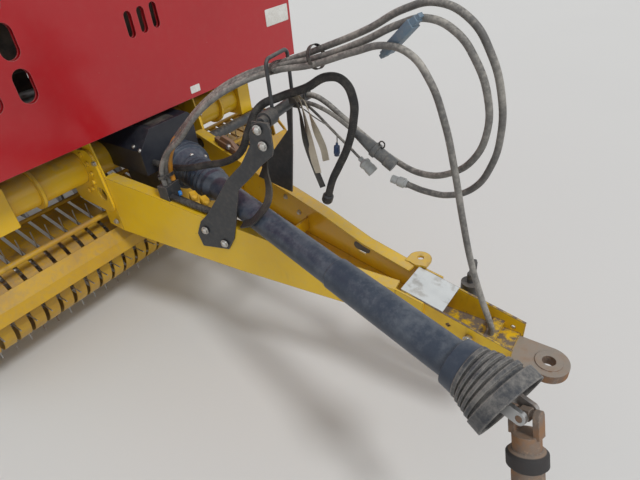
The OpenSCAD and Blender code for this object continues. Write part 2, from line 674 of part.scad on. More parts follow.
// Turns a piece so that it carries on in the direction of a hose's last stretch
module at_end(p) {
    q = p[len(p) - 1];
    t = tangent(p, len(p) - 1);
    at(q[0], q[1], q[2]) rotate([atan2(-t[1], t[2]), 0, 0]) children();
}
module plug_cone() {
    color(steel) at_end(lead_route) rotate_extrude($fn = 48)
        polygon([[0, 0], [11, 0], [12, 14], [20, 78], [24, 80], [24, 96], [20, 98], [19, 128], [21, 132], [21, 164], [0, 164]]);
}
module plug_clear() {
    color(steel) at_end(lower_route) rotate_extrude($fn = 48)
        polygon([[0, 0], [12, 0], [12, 8], [16, 10], [16, 30], [13, 34], [13, 54], [0, 54]]);
}
module sleeve_end() {
    color(black) at_end(sleeve_route) rotate_extrude($fn = 48)
        polygon([[0, 0], [15, 0], [19, 6], [19, 26], [15, 34], [0, 34]]);
}

module oval(x, z, w, h, lean) {
    translate([x, z]) rotate(lean) {
        translate([-w / 2, -(h - w) / 2]) square([w, h - w]);
        translate([0, (h - w) / 2]) circle(d = w, $fn = 32);
        translate([0, -(h - w) / 2]) circle(d = w, $fn = 32);
    }
}

// Vent slots of the front panel: place across, height, width, length
vents = [[-20, 1300, 32, 92], [38, 1305, 32, 92], [96, 1310, 32, 92],
    [-455, 1345, 60, 110], [-455, 1480, 60, 110], [-570, 1345, 60, 110], [-570, 1480, 60, 110],
    [-455, 1210, 60, 110], [-570, 1210, 60, 110]];

module front_panel() {
    color(red) difference() {
        union() {
            at(0, panel_back + cover_t, 0) rotate([90, 0, 0]) linear_extrude(skin_t)
                translate([-panel_half, panel_low]) square([2 * panel_half, panel_high - panel_low]);
            at(-panel_half, panel_back, panel_low) difference() {
                cube([2 * panel_half, cover_t, panel_high - panel_low]);
                translate([skin_t, skin_t, skin_t]) cube([2 * (panel_half - skin_t), cover_t, panel_high - panel_low - 2 * skin_t]);
            }
        }
        at(0, panel_back + cover_t + 1, 0) rotate([90, 0, 0]) linear_extrude(cover_t + 2)
            for (v = vents) oval(v[0], v[1], v[2], v[3], 0);
    }
}

module chamber_wall() {
    hanger();
    difference() {
        from_side(chamber_w / 2, wall_t) polygon(wall_outline);
        bar_x(chamber_w / 2 - 1, side_in + 1, rotor_back, rotor_z, 30 + pin_gap);
        bar_x(chamber_w / 2 - 1, side_in + 1, hinge_back, hinge_z, hinge_d / 2);
    }
}

module wall_left() { color(red) chamber_wall(); }
module wall_right() { color(red) mirror([1, 0, 0]) chamber_wall(); }

// Hinge shaft of the tailgate and the tubes that tie the walls together
module top_cross() {
    color(yellow) {
        bar_x(-gate_out - 20, gate_out + 20, hinge_back, hinge_z, hinge_d / 2 - 0.01);
        for (p = [[2060, 2320], [1700, 1610], [2560, 2400]])
            at(-chamber_w / 2, p[0] - 25, p[1] - 25) cube([chamber_w, 50, 50]);
    }
}

// Tube between the side walls, at a place behind the hitch pin and a height
module roll(half, p, r) {
    difference() {
        bar_x(-half, half, p[0], p[1], r);
        bar_x(-half - 1, half + 1, p[0], p[1], r - 6);
    }
}

module front_rolls() {
    color(steel) {
        for (p = front_roll_at) roll(chamber_w / 2, p, roll_r);
        for (p = [[2450, 520], [2000, 930]]) roll(chamber_w / 2, p, 90);
    }
}

// Loops of belt round a set of rolls, clear of them at the middle of each flat of the bends
module belts(rolls) {
    pitch = chamber_w / belt_count;
    inside = (roll_r + seat_gap) / cos(7.5);
    for (i = [0 : belt_count - 1])
        from_side(-chamber_w / 2 + (i + 0.5) * pitch - belt_w / 2, belt_w) difference() {
            polygon(wrapped(rolls, inside + belt_t, 8));
            polygon(wrapped(rolls, inside, 8));
        }
}

module front_belts() { color(black) belts(front_roll_at); }
module gate_belts() { color(black) belts(gate_roll_at); }

module feed_rotor() {
    star_count = 11;
    points = 4;
    color(steel) {
        bar_x(-side_in - 40, side_in + 40, rotor_back, rotor_z, 30);
        bar_x(-chamber_w / 2 + move_gap, chamber_w / 2 - move_gap, rotor_back, rotor_z, 75);
        for (i = [0 : star_count - 1])
            at(-chamber_w / 2 + (i + 0.5) * chamber_w / star_count - 6, rotor_back, rotor_z) rotate([i * 22.5, 0, 0])
                rotate([90, 0, 90]) linear_extrude(12)
                    polygon([for (k = [0 : 2 * points - 1]) (k % 2 == 0 ? rotor_r : 90) * [cos(k * 180 / points), sin(k * 180 / points)]]);
    }
}

// Net hood over the front of the chamber: tray with end plates, and the lid in front
lid_front = tab_back + 16;
net_outline = [[lid_front + 22, 1750], net_low, net_high, [1990, 2330], [1850, 2330], [lid_front + 22, 1966]];
net_hinge = [2002, 2346];
module net_box() {
    color(black) {
        both_sides() difference() {
            union() {
                from_side(640, 8) polygon(net_outline);
                bar_x(640, 648, net_hinge[0], net_hinge[1], 22);
            }
            bar_x(639, 649, net_hinge[0], net_hinge[1], 9 + pin_gap);
        }
        from_side(-641, 1282) polygon([net_low - [8, 0], net_low, net_high, net_high - [8, -4]]);
    }
}

module net_lid() {
    color(red) {
        from_side(-700, 1400) polygon([[lid_front, 1755], [lid_front + 14, 1755], [lid_front + 14, 1972], [1846, 2338],
            [1966, 2338], [1966, 2350], [1842, 2350], [lid_front, 1980]]);
        both_sides() from_side(680, 20) polygon([[lid_front, 1755], [lid_front + 54, 1755], [1966, 2290], [1966, 2350],
            [1842, 2350], [lid_front, 1980]]);
        bar_x(-660, 660, net_hinge[0], net_hinge[1], 9);
        for (x = [-560, -30, 500]) from_side(x, 60) polygon([[1950, 2340], [2002, 2340], [2002, 2352], [1950, 2350]]);
    }
}

// Cover with a thin skin outside and a rim turned in all round
module shield_panel(p, x_out) {
    difference() {
        from_side(x_out - cover_t, cover_t) polygon(wrapped(p, 40));
        from_side(x_out - cover_t - 1, cover_t - skin_t + 1) polygon(wrapped(p, 40 - skin_t));
    }
}

shield_front = tab_back + move_gap + 41;
shield_at = [[shield_front, 1040], [2400, 1000], [2480, 920], [2645, 920], [2645, 2290], [2100, 2290],
    [shield_front, 1750]];
gate_shield_at = [[2755, 920], [3370, 920], [3600, 1130], [3710, 1400], [3650, 1740], [3460, 2000], [3180, 2170],
    [2755, 2250]];
module shield() {
    shield_panel(shield_at, panel_half);
    // Hinge rod above the top edge, on a tongue between the hangers
    at(shield_hinge_x, hanger_at[0] - 20, shield_hinge_z) rotate([-90, 0, 0])
        cylinder(r = 12, h = hanger_at[1] - hanger_at[0] + 40, $fn = 32);
    at(shield_hinge_x - 4, hanger_at[0] + 24, 2322) cube([30, hanger_at[1] - hanger_at[0] - 48, 22]);
}

// Hinge line of the side shields, and the two hangers that carry it from the wall
shield_hinge_x = panel_half - 40;
shield_hinge_z = 2346;
hanger_at = [2120, 2300];
module hanger() {
    for (b = hanger_at) difference() {
        union() {
            at(side_in, b - 15, shield_hinge_z - 12) cube([shield_hinge_x - side_in, 30, 24]);
            at(shield_hinge_x, b - 15, shield_hinge_z) rotate([-90, 0, 0]) cylinder(r = 20, h = 30, $fn = 32);
        }
        at(shield_hinge_x, b - 16, shield_hinge_z) rotate([-90, 0, 0]) cylinder(r = 12 + pin_gap, h = 32, $fn = 32);
    }
}

module shield_left() { color(red) shield(); }
module shield_right() { color(red) mirror([1, 0, 0]) shield(); }

module gate_wall() {
    difference() {
        from_side(gate_in, wall_t) polygon(gate_outline);
        bar_x(gate_in - 1, gate_out + 1, hinge_back, hinge_z, hinge_d / 2 + pin_gap);
    }
    // Posts that carry the outer shield
    for (p = [[3050, 1200], [3500, 1300], [3400, 1850], [2960, 2150]])
        bar_x(gate_out - 1, panel_half - skin_t, p[0], p[1], 15);
    // Boss beside the rod's eye
    bar_x(gate_out - 1, cyl_x - 20 - move_gap, cyl_high[0], cyl_high[1], 30);
}

module gate_wall_left() { color(red) gate_wall(); }
module gate_wall_right() { color(red) mirror([1, 0, 0]) gate_wall(); }

module gate_cross() {
    color(yellow) {
        for (p = [[3670, 1250], [3585, 1895], [3160, 2160]]) roll(gate_in, p, 30);
        at(-830, gate_back, 1440) cube([1660, 40, 60]);
    }
}

module gate_rolls() {
    color(steel) for (p = gate_roll_at) roll(gate_in, p, roll_r);
}

module gate_shield_left() { color(red) shield_panel(gate_shield_at, panel_half); }
module gate_shield_right() { color(red) mirror([1, 0, 0]) shield_panel(gate_shield_at, panel_half); }

module tail_lamps() {
    color("#c0281c") both_sides() at(640, gate_back + 40, 1425) cube([180, 40, 90]);
}

module tyre() {
    r = wheel_d / 2;
    w = tyre_w / 2;
    color(black) at(wheel_x, axle_back, r) rotate([0, 90, 0]) rotate_extrude($fn = 96)
        polygon([[rim_d / 2 + 0.3, -w + 30], [rim_d / 2 + 40, -w + 4], [r - 90, -w], [r - 40, -w + 8], [r - 12, -w + 35],
            [r, -w + 70], [r, -60], [r - 14, -56], [r - 14, -42], [r, -38], [r, 38], [r - 14, 42], [r - 14, 56], [r, 60],
            [r, w - 70], [r - 12, w - 35], [r - 40, w - 8], [r - 90, w], [rim_d / 2 + 40, w - 4], [rim_d / 2 + 0.3, w - 30]]);
}

module tyre_left() { tyre(); }
module tyre_right() { mirror([1, 0, 0]) tyre(); }

module rim() {
    w = tyre_w / 2 - 28;
    color("#d8c9a8") at(wheel_x, axle_back, wheel_d / 2) rotate([0, 90, 0]) {
        rotate_extrude($fn = 96) polygon([[rim_d / 2, -w], [rim_d / 2, w], [rim_d / 2 - 10, w], [rim_d / 2 - 30, w - 30],
            [rim_d / 2 - 32, 20], [110, 8], [27 + pin_gap, 8], [27 + pin_gap, -2], [110, -2], [rim_d / 2 - 38, 10],
            [rim_d / 2 - 36, -w + 30], [rim_d / 2 - 10, -w]]);
        difference() {
            translate([0, 0, -70]) cylinder(r = 60, h = 140, $fn = 48);
            translate([0, 0, -71]) cylinder(r = 27 + pin_gap, h = 142, $fn = 48);
        }
    }
}

module rim_left() { rim(); }
module rim_right() { mirror([1, 0, 0]) rim(); }

pick_half = band_count * band_pitch / 2 + 30;
// Bar that the tops of the bands lie under
stripper_back = reel_back + 165;
stripper_z = reel_z + 208;
gauge_back = 1870;
gauge_z = gauge_d / 2 + 40;
arm_x = frame_out + 20;
module pickup_frame() {
    color(yellow) {
        both_sides() {
            difference() {
                from_side(arm_x, 12) polygon(wrapped([[2000, 215], [2010, 215], [rotor_back, rotor_z], [2060, rotor_z]], 34));
                bar_x(arm_x - 1, arm_x + 13, rotor_back, rotor_z, 20 + pin_gap);
            }
            difference() {
                from_side(pick_half, 8) polygon(wrapped([[1600, 300], [1700, 200], [1980, 230], [1980, 330],
                    [stripper_back + 10, stripper_z], [1640, 560]], 30));
                bar_x(pick_half - 1, pick_half + 9, reel_back, reel_z, 20 + pin_gap);
            }
            // Gauge wheel arm and stub
            from_side(pick_half + 8, 10) polygon(wrapped([[gauge_back, gauge_z], [1960, 210], [1960, 280], [1860, 280]], 20));
            bar_x(pick_half + 8, pick_half + 8 + 110, gauge_back, gauge_z, 12);
        }
        at(-pick_half, 1960, 190) cube([2 * pick_half, 60, 60]);
        bar_x(-pick_half, pick_half, stripper_back, stripper_z, 10);
    }
}

// Stripper bands: hoops that wrap the front of the reel and run back above and below it
function band_line(r) = concat([[stripper_back, stripper_z - 10.2 - seat_gap - band_r + r]],
    arc([reel_back, reel_z], r, 90, 270, 18), [[1960 - seat_gap, 196 + band_r - r]]);
module pickup_bands() {
    outer = band_line(band_r);
    inner = band_line(band_r - 4);
    color(yellow) for (i = [0 : band_count - 1])
        from_side((i + 0.5 - band_count / 2) * band_pitch - band_w / 2, band_w)
            polygon(concat(outer, [for (k = [len(inner) - 1 : -1 : 0]) inner[k]]));
}

module pickup_reel() {
    bar_r = 110;
    color(steel) {
        bar_x(-pick_half - 6, pick_half + 6, reel_back, reel_z, 20);
        for (x = [-pick_half + 8, -6, pick_half - 20]) bar_x(x, x + 12, reel_back, reel_z, bar_r + 18);
        for (k = [0 : bar_count - 1]) at(0, reel_back, reel_z) rotate([k * 360 / bar_count, 0, 0]) {
            translate([-pick_half + 10, 0, bar_r]) rotate([0, 90, 0]) cylinder(r = 14, h = 2 * pick_half - 20, $fn = 24);
            for (i = [0 : band_count]) translate([(i - band_count / 2) * band_pitch, 0, bar_r])
                cylinder(d = tine_d, h = tine_r - bar_r, $fn = 6);
        }
    }
}

// Wind guard: folded plate in front of the bands and a bar behind it, as places from the reel's axis
guard_line = [[-240, 58], [-227, 107], [-193, 160]];
guard_bar = [-139, 216];
guard_pivot = [1640, 560];
module windguard() {
    plate = [for (p = guard_line) [reel_back, reel_z] + p];
    bar = [reel_back, reel_z] + guard_bar;
    color(yellow) {
        from_side(-pick_half, 2 * pick_half) polygon(concat(plate, [for (i = [2 : -1 : 0]) plate[i] + [4.6, -2.4]]));
        bar_x(-pick_half + 8, pick_half - 8, bar[0], bar[1], 12);
        both_sides() {
            from_side(pick_half - 8 - seat_gap, 8) {
                polygon([plate[1], plate[1] + [6, -4], plate[2] + [10, -6], bar + [10, -8], bar + [0, 8], plate[2] + [0, 6]]);
                polygon(wrapped([bar, guard_pivot], 16));
            }
            bar_x(pick_half - 16, pick_half - 4, guard_pivot[0], guard_pivot[1], 10);
        }
    }
}

module gauge_wheel() {
    color(black) at(pick_half + 30, gauge_back, gauge_z) rotate([0, 90, 0]) difference() {
        cylinder(d = gauge_d, h = 80, $fn = 64);
        translate([0, 0, -1]) cylinder(r = 12 + pin_gap, h = 82, $fn = 48);
    }
}

module gauge_wheel_left() { gauge_wheel(); }
module gauge_wheel_right() { mirror([1, 0, 0]) gauge_wheel(); }

// Draws up the Z axis along the lift cylinder on one side, from its lower pin
module along_cylinder(side) {
    at(side * cyl_x, cyl_low[0], cyl_low[1]) rotate([cyl_a - 90, 0, 0]) children();
}

module cylinder_unit(side) {
    color(black) along_cylinder(side) {
        difference() {
            union() {
                translate([0, 0, 30]) cylinder(r = 35, h = 860, $fn = 48);
                translate([-37, 0, 0]) rotate([0, 90, 0]) cylinder(r = 36, h = 74, $fn = 48);
            }
            translate([-38, 0, 0]) rotate([0, 90, 0]) cylinder(r = 20 + pin_gap, h = 76, $fn = 48);
            translate([0, 0, 200]) cylinder(r = 20 + pin_gap, h = 800, $fn = 48);
        }
    }
}

module rod_unit(side) {
    color(steel) along_cylinder(side) {
        translate([0, 0, 220]) cylinder(r = 20, h = cyl_len - 220, $fn = 48);
        translate([-20, 0, cyl_len]) rotate([0, 90, 0]) cylinder(r = 34, h = 40, $fn = 48);
    }
}

module cylinder_left() { cylinder_unit(1); }
module cylinder_right() { cylinder_unit(-1); }
module rod_left() { rod_unit(1); }
module rod_right() { rod_unit(-1); }

hitch_eye();
hitch_box();
hitch_cover();
rail_left();
rail_right();
rail_brace();
cross_tube();
on_body() chassis_left();
on_body() chassis_right();
on_body() axle();
jack();
gearbox();
gearbox_shroud();
pto_guard();
pto_bell();
pto_shaft();
pto_yoke();
hose_holder();
hose_hoop();
hose_front();
hose_upper();
hose_lower();
hose_sleeve();
hose_lead();
plug_cone();
plug_clear();
sleeve_end();
front_panel();
on_body() wall_left();
on_body() wall_right();
on_body() top_cross();
on_body() front_rolls();
on_body() front_belts();
on_body() feed_rotor();
on_body() net_box();
on_body() net_lid();
on_body() shield_left();
on_body() shield_right();
on_body() gate_wall_left();
on_body() gate_wall_right();
on_body() gate_cross();
on_body() gate_rolls();
on_body() gate_belts();
on_body() gate_shield_left();
on_body() gate_shield_right();
on_body() tail_lamps();
on_body() tyre_left();
on_body() tyre_right();
on_body() rim_left();
on_body() rim_right();
on_body() pickup_frame();
on_body() pickup_bands();
on_body() pickup_reel();
on_body() windguard();
on_body() gauge_wheel_left();
on_body() gauge_wheel_right();
on_body() cylinder_left();
on_body() cylinder_right();
on_body() rod_left();
on_body() rod_right();
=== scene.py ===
import bpy
import bmesh
import json
import math
from mathutils import Matrix, Vector, geometry


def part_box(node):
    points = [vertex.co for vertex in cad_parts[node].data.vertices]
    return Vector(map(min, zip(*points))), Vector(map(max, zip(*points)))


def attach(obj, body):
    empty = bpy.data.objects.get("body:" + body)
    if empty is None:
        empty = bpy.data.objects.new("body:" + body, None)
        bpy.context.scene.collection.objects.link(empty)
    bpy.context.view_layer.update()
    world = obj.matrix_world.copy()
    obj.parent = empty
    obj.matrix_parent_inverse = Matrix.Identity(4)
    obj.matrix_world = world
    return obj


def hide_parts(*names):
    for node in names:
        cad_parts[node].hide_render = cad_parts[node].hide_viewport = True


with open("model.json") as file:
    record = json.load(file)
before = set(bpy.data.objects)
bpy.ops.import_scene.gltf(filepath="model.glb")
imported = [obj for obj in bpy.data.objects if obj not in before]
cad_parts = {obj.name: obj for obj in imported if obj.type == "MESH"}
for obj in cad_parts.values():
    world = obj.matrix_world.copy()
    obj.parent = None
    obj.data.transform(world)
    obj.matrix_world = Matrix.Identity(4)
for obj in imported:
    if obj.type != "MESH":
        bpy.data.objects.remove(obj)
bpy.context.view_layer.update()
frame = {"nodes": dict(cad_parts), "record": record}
scene = bpy.context.scene
nodes = frame["nodes"]
hitch = Vector(frame["record"]["mounts"][0]["pos_m"])
pinY = hitch.y   # places on the tongue are measured back from the hitch pin
print("frame loaded")


# camera, found from the photo's straight lines
camera = {"place": (-1.148, -0.1, 1.634), "yaw": 0.683, "pitch": 0.615, "roll": -0.104,
          "lens": 27.57, "sensor": 36, "reach": 100}


def makeCamera(c):
    data = bpy.data.cameras.new("camera")
    data.lens = c["lens"]
    data.sensor_width = c["sensor"]
    data.clip_end = c["reach"]
    cam = bpy.data.objects.new("camera", data)
    scene.collection.objects.link(cam)
    yaw, pitch, roll = c["yaw"], c["pitch"], c["roll"]
    ahead = Vector((math.cos(pitch) * math.cos(yaw), math.cos(pitch) * math.sin(yaw), -math.sin(pitch)))
    right = ahead.cross(Vector((0, 0, 1))).normalized()
    up = right.cross(ahead)
    right, up = (math.cos(roll) * right + math.sin(roll) * up,
                 math.cos(roll) * up - math.sin(roll) * right)
    turn = Matrix((right, up, -ahead)).transposed()
    cam.matrix_world = Matrix.Translation(Vector(c["place"]) + Vector((0, pinY, 0))) @ turn.to_4x4()
    scene.camera = cam


makeCamera(camera)


# hoses: place sideways, place behind the hitch pin and height, in millimetres
hoses = {
    "frontHose": {
        "node": "hose_front", "thick": 0.019, "end": "object", "stiff": "medium", "with": [],
        "route": [(-200, 1400, 775), (-200, 1400, 825), (-195, 1352, 905), (-183, 1255, 985),
                  (-155, 1165, 1080), (-100, 1060, 1155), (-32, 925, 1205), (-18, 790, 1232),
                  (-12, 640, 1280), (-12, 550, 1303),
                  (-14, 478, 1290), (-16, 420, 1232), (-18, 372, 1130), (-20, 336, 1010), (-20, 300, 860),
                  (-20, 262, 720), (-18, 220, 600), (-15, 184, 510), (-15, 176, 487), (-15, 176, 464)]},
    "upperHose": {
        "node": "hose_upper", "thick": 0.019, "end": "object", "stiff": "medium", "with": [],
        "route": [(-178, 1403, 775), (-178, 1403, 825), (-174, 1354, 915), (-160, 1255, 1005),
                  (-128, 1165, 1095), (-75, 1060, 1165), (-6, 925, 1212), (6, 780, 1248),
                  (8, 620, 1305), (8, 520, 1350),
                  (10, 445, 1368), (12, 372, 1342), (15, 318, 1280), (16, 280, 1195), (17, 272, 1110),
                  (20, 300, 1025), (32, 365, 962), (62, 465, 922), (95, 575, 928), (118, 690, 972),
                  (124, 790, 1030), (120, 860, 1075), (118, 890, 1085), (118, 918, 1085)]},
    "lowerHose": {
        "node": "hose_lower", "thick": 0.019, "end": "connector", "stiff": "medium", "with": ["plug_clear"],
        "route": [(-156, 1406, 775), (-156, 1406, 825), (-152, 1357, 925), (-136, 1258, 1025),
                  (-100, 1165, 1110), (-50, 1060, 1175), (18, 925, 1218), (30, 780, 1268),
                  (34, 620, 1330), (36, 520, 1380),
                  (38, 435, 1398), (38, 350, 1366), (39, 292, 1292), (40, 255, 1195), (40, 244, 1095),
                  (41, 258, 1005), (44, 300, 925), (50, 370, 880), (56, 450, 869), (56, 510, 877)]},
    "sleevedHose": {
        "node": "hose_sleeve", "thick": 0.026, "end": "plug", "stiff": "limp", "with": ["sleeve_end"],
        "route": [(-118, 1556, 800), (-118, 1490, 800), (-114, 1370, 815), (-108, 1240, 855),
                  (-102, 1125, 895), (-98, 1055, 945), (-90, 1010, 1025), (-62, 972, 1098),
                  (-15, 925, 1120), (0, 830, 1155), (5, 742, 1198), (5, 690, 1190), (5, 662, 1142),
                  (5, 664, 1080), (5, 690, 990), (5, 730, 910), (5, 757, 859), (5, 779, 796)]},
    "plugLead": {
        "node": "hose_lead", "thick": 0.014, "end": "plug", "stiff": "medium", "with": ["plug_cone"],
        "route": [(57, 905, 1085), (57, 865, 1084), (54, 815, 1076), (49, 765, 1061), (45, 716, 1038),
                  (45, 690, 1022)]}}


def tonguePoint(p):
    return Vector((p[0] / 1000, pinY + p[1] / 1000, p[2] / 1000))


lengthSteps = 16   # between two points of a line, when its length is measured


def smoothLine(name, route):
    # a smooth curve through the route, and its length
    curve = bpy.data.curves.new(name, "CURVE")
    curve.dimensions = "3D"
    line = curve.splines.new("BEZIER").bezier_points
    line.add(len(route) - 1)
    for b, p in zip(line, route):
        b.co = tonguePoint(p)
        b.handle_left_type = b.handle_right_type = "AUTO"
    made = bpy.data.objects.new(name, curve)
    scene.collection.objects.link(made)
    bpy.context.view_layer.update()
    run = 0
    for a, b in zip(line, line[1:]):
        steps = geometry.interpolate_bezier(a.co, a.handle_right, b.handle_left, b.co, lengthSteps)
        run += sum((q - p).length for p, q in zip(steps, steps[1:]))
    return made, run


def thicken(line, radius, around, along=8):
    line.data.bevel_depth = radius
    line.data.bevel_resolution = around
    line.data.resolution_u = along
    line.data.use_fill_caps = True


def makeCord(name, c):
    # each point's radius carries the thickness, so that the curve's own box stays true
    piece, run = smoothLine(name, c["route"])
    for b in piece.data.splines[0].bezier_points:
        b.radius = c["thick"] / 2
    thicken(piece, 1, 3)
    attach(piece, "root")
    if "node" in c:
        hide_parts(c["node"])
    tonguePoint(c["route"][0])
    return piece


hosePieces = {name: makeCord(name, h) for name, h in hoses.items()}


# finishes
class Value:
    # wraps a socket, so that maths on it reads as a plain expression
    def __init__(self, finish, socket):
        self.finish = finish
        self.socket = socket

    def maths(self, operation, other, swap=False):
        pair = (other, self) if swap else (self, other)
        return self.finish.node("ShaderNodeMath", {"operation": operation}, {0: pair[0], 1: pair[1]})

    def __add__(self, other):
        return self.maths("ADD", other)

    def __sub__(self, other):
        return self.maths("SUBTRACT", other)

    def __rsub__(self, other):
        return self.maths("SUBTRACT", other, True)

    def __mul__(self, other):
        return self.maths("MULTIPLY", other)

    __radd__ = __add__
    __rmul__ = __mul__


class Finish:
    # one material: node adds any node, and the other methods are what the looks share
    def __init__(self, name, rough=0.5, metal=0.0, coat=0.0):
        self.material = bpy.data.materials.new(name)
        self.material.use_nodes = True
        self.tree = self.material.node_tree
        self.shader = self.tree.nodes["Principled BSDF"]
        self.set("Roughness", rough)
        self.set("Metallic", metal)
        self.set("Coat Weight", coat)
        self.place = self.node("ShaderNodeTexCoord", out="Object")

    def set(self, socket, value):
        if isinstance(value, Value):
            self.tree.links.new(value.socket, self.shader.inputs[socket])
        else:
            self.shader.inputs[socket].default_value = value

    def node(self, kind, settings=None, values=None, out=0):
        made = self.tree.nodes.new(kind)
        for key, value in (settings or {}).items():
            setattr(made, key, value)
        for key, value in (values or {}).items():
            if isinstance(value, Value):
                self.tree.links.new(value.socket, made.inputs[key])
            elif value is not None:
                made.inputs[key].default_value = value
        return Value(self, made.outputs[out])

    def noise(self, scale, detail=3, rough=0.55, stretch=None):
        where = self.place
        if stretch:
            where = self.node("ShaderNodeMapping", {}, {"Vector": self.place, "Scale": stretch})
        return self.node("ShaderNodeTexNoise", {},
                         {"Vector": where, "Scale": scale, "Detail": detail, "Roughness": rough})

    def step(self, value, low, high):
        return self.node("ShaderNodeMapRange", {"interpolation_type": "SMOOTHSTEP"},
                         {"Value": value, "From Min": low, "From Max": high})

    def mix(self, a, b, share):
        full = [(*c, 1) if isinstance(c, tuple) and len(c) == 3 else c for c in (a, b)]
        return self.node("ShaderNodeMix", {"data_type": "RGBA"}, {0: share, 6: full[0], 7: full[1]}, out=2)

    def dot(self, a, b):
        return self.node("ShaderNodeVectorMath", {"operation": "DOT_PRODUCT"}, {0: a, 1: b}, out=1)

    def limited(self, value):
        return self.node("ShaderNodeClamp", {}, {"Value": value})

    def towards(self, direction):
        # how far a face looks in a direction, from -1 to 1
        return self.dot(self.node("ShaderNodeTexCoord", out="Normal"), direction)

    def rounded(self, radius):
        return self.node("ShaderNodeBevel", {"samples": 4}, {"Radius": radius})

    def edges(self, radius):
        # near 1 along sharp edges
        flat = self.node("ShaderNodeNewGeometry", out="Normal")
        return self.step(1 - self.dot(self.rounded(radius), flat), 0.01, 0.16)

    def bump(self, height, depth, strength=1.0, normal=None):
        self.set("Normal", self.node("ShaderNodeBump", {}, {"Height": height, "Distance": depth,
                                                           "Strength": strength, "Normal": normal}))
        return self.material


def painted(name, look):
    f = Finish(name, look["rough"], coat=look["coat"])
    f.set("Coat Roughness", 0.12)
    cloud = f.noise(look["cloudScale"], 4)
    fine = f.noise(look["fineScale"], 5, 0.65)
    up = f.step(f.towards((0, 0, 1)), 0.15, 0.9)
    colour = f.mix(look["paint"], look["faded"], f.step(cloud, 0.42, 0.72))
    film = f.step(fine, 0.4, 0.78) * look["film"]
    dust = film + up * f.step(cloud + fine, 0.75, 1.25) * look["settled"]
    colour = f.mix(colour, look["dust"], dust)
    # splashes run down from dirty spots
    run = f.noise(look["splashScale"], 3, 0.6, stretch=(1, 1, 0.25))
    splash = f.step(run, 0.62, 0.76) * look["splashes"]
    colour = f.mix(colour, look["mud"], splash)
    chips = f.step(f.edges(look["edge"]) + fine * 0.9, 1.05, 1.2) * look["chips"]
    chips = chips + f.step(f.noise(look["spotScale"], 2, 0.7), 0.76, 0.79) * look["spots"]
    colour = f.mix(colour, look["bare"], f.limited(chips))
    f.set("Base Color", colour)
    f.set("Roughness", look["rough"] + dust * 0.35 + splash * 0.25 + chips * 0.3)
    return f.bump(fine * 0.25 + cloud - chips * 0.5, 0.0006, 0.5, f.rounded(look["edge"]))


frameYellow = painted("frameYellow", {
    "paint": (0.78, 0.5, 0.008), "faded": (0.72, 0.44, 0.012), "dust": (0.46, 0.4, 0.3),
    "mud": (0.22, 0.15, 0.09), "bare": (0.13, 0.065, 0.035), "rough": 0.34, "coat": 0.25, "cloudScale": 3.0,
    "fineScale": 46, "splashScale": 11, "spotScale": 60, "film": 0.1, "settled": 0.3, "splashes": 0.35,
    "edge": 0.004, "chips": 0.8, "spots": 0.6})
scuffedYellow = painted("scuffedYellow", {
    "paint": (0.78, 0.5, 0.008), "faded": (0.66, 0.38, 0.012), "dust": (0.17, 0.135, 0.11),
    "mud": (0.12, 0.08, 0.05), "bare": (0.15, 0.085, 0.05), "rough": 0.42, "coat": 0.1, "cloudScale": 9,
    "fineScale": 40, "splashScale": 16, "spotScale": 40, "film": 0.1, "settled": 1.8, "splashes": 0.85,
    "edge": 0.006, "chips": 1.0, "spots": 0.9})
# the pickup's yellow is a darker copy of the frame's paint, and its faded, dust and mud colours are darker
# too: painted shade for the machine's shadow over the pickup and wind guard, under real dust, mud and chipped
# edges
shadedPickupYellow = painted("shadedPickupYellow", {
    "paint": (0.55, 0.32, 0.01), "faded": (0.42, 0.22, 0.015), "dust": (0.27, 0.21, 0.14),
    "mud": (0.14, 0.09, 0.05), "bare": (0.17, 0.08, 0.035), "rough": 0.42, "coat": 0.1, "cloudScale": 4.0,
    "fineScale": 55, "splashScale": 9, "spotScale": 48, "film": 0.22, "settled": 0.45, "splashes": 0.6,
    "edge": 0.003, "chips": 0.9, "spots": 0.8})
bodyRed = painted("bodyRed", {
    "paint": (0.41, 0.006, 0.012), "faded": (0.36, 0.007, 0.012), "dust": (0.34, 0.2, 0.16),
    "mud": (0.2, 0.1, 0.08), "bare": (0.24, 0.22, 0.21), "rough": 0.24, "coat": 0.3, "cloudScale": 1.6,
    "fineScale": 30, "splashScale": 6, "spotScale": 70, "film": 0.03, "settled": 0.3, "splashes": 0.06,
    "edge": 0.003, "chips": 0.5, "spots": 0.3})
darkPaint = painted("darkPaint", {
    "paint": (0.033, 0.037, 0.042), "faded": (0.045, 0.048, 0.052), "dust": (0.3, 0.26, 0.21),
    "mud": (0.12, 0.09, 0.06), "bare": (0.24, 0.2, 0.17), "rough": 0.42, "coat": 0.0, "cloudScale": 7.0,
    "fineScale": 60, "splashScale": 14, "spotScale": 80, "film": 0.12, "settled": 0.3, "splashes": 0.3,
    "edge": 0.003, "chips": 0.9, "spots": 0.6})
rimPaint = painted("rimPaint", {
    "paint": (0.62, 0.55, 0.38), "faded": (0.55, 0.48, 0.33), "dust": (0.36, 0.3, 0.22),
    "mud": (0.22, 0.16, 0.1), "bare": (0.2, 0.1, 0.05), "rough": 0.42, "coat": 0.1, "cloudScale": 4.0,
    "fineScale": 50, "splashScale": 9, "spotScale": 60, "film": 0.2, "settled": 0.2, "splashes": 0.6,
    "edge": 0.004, "chips": 0.8, "spots": 0.7})


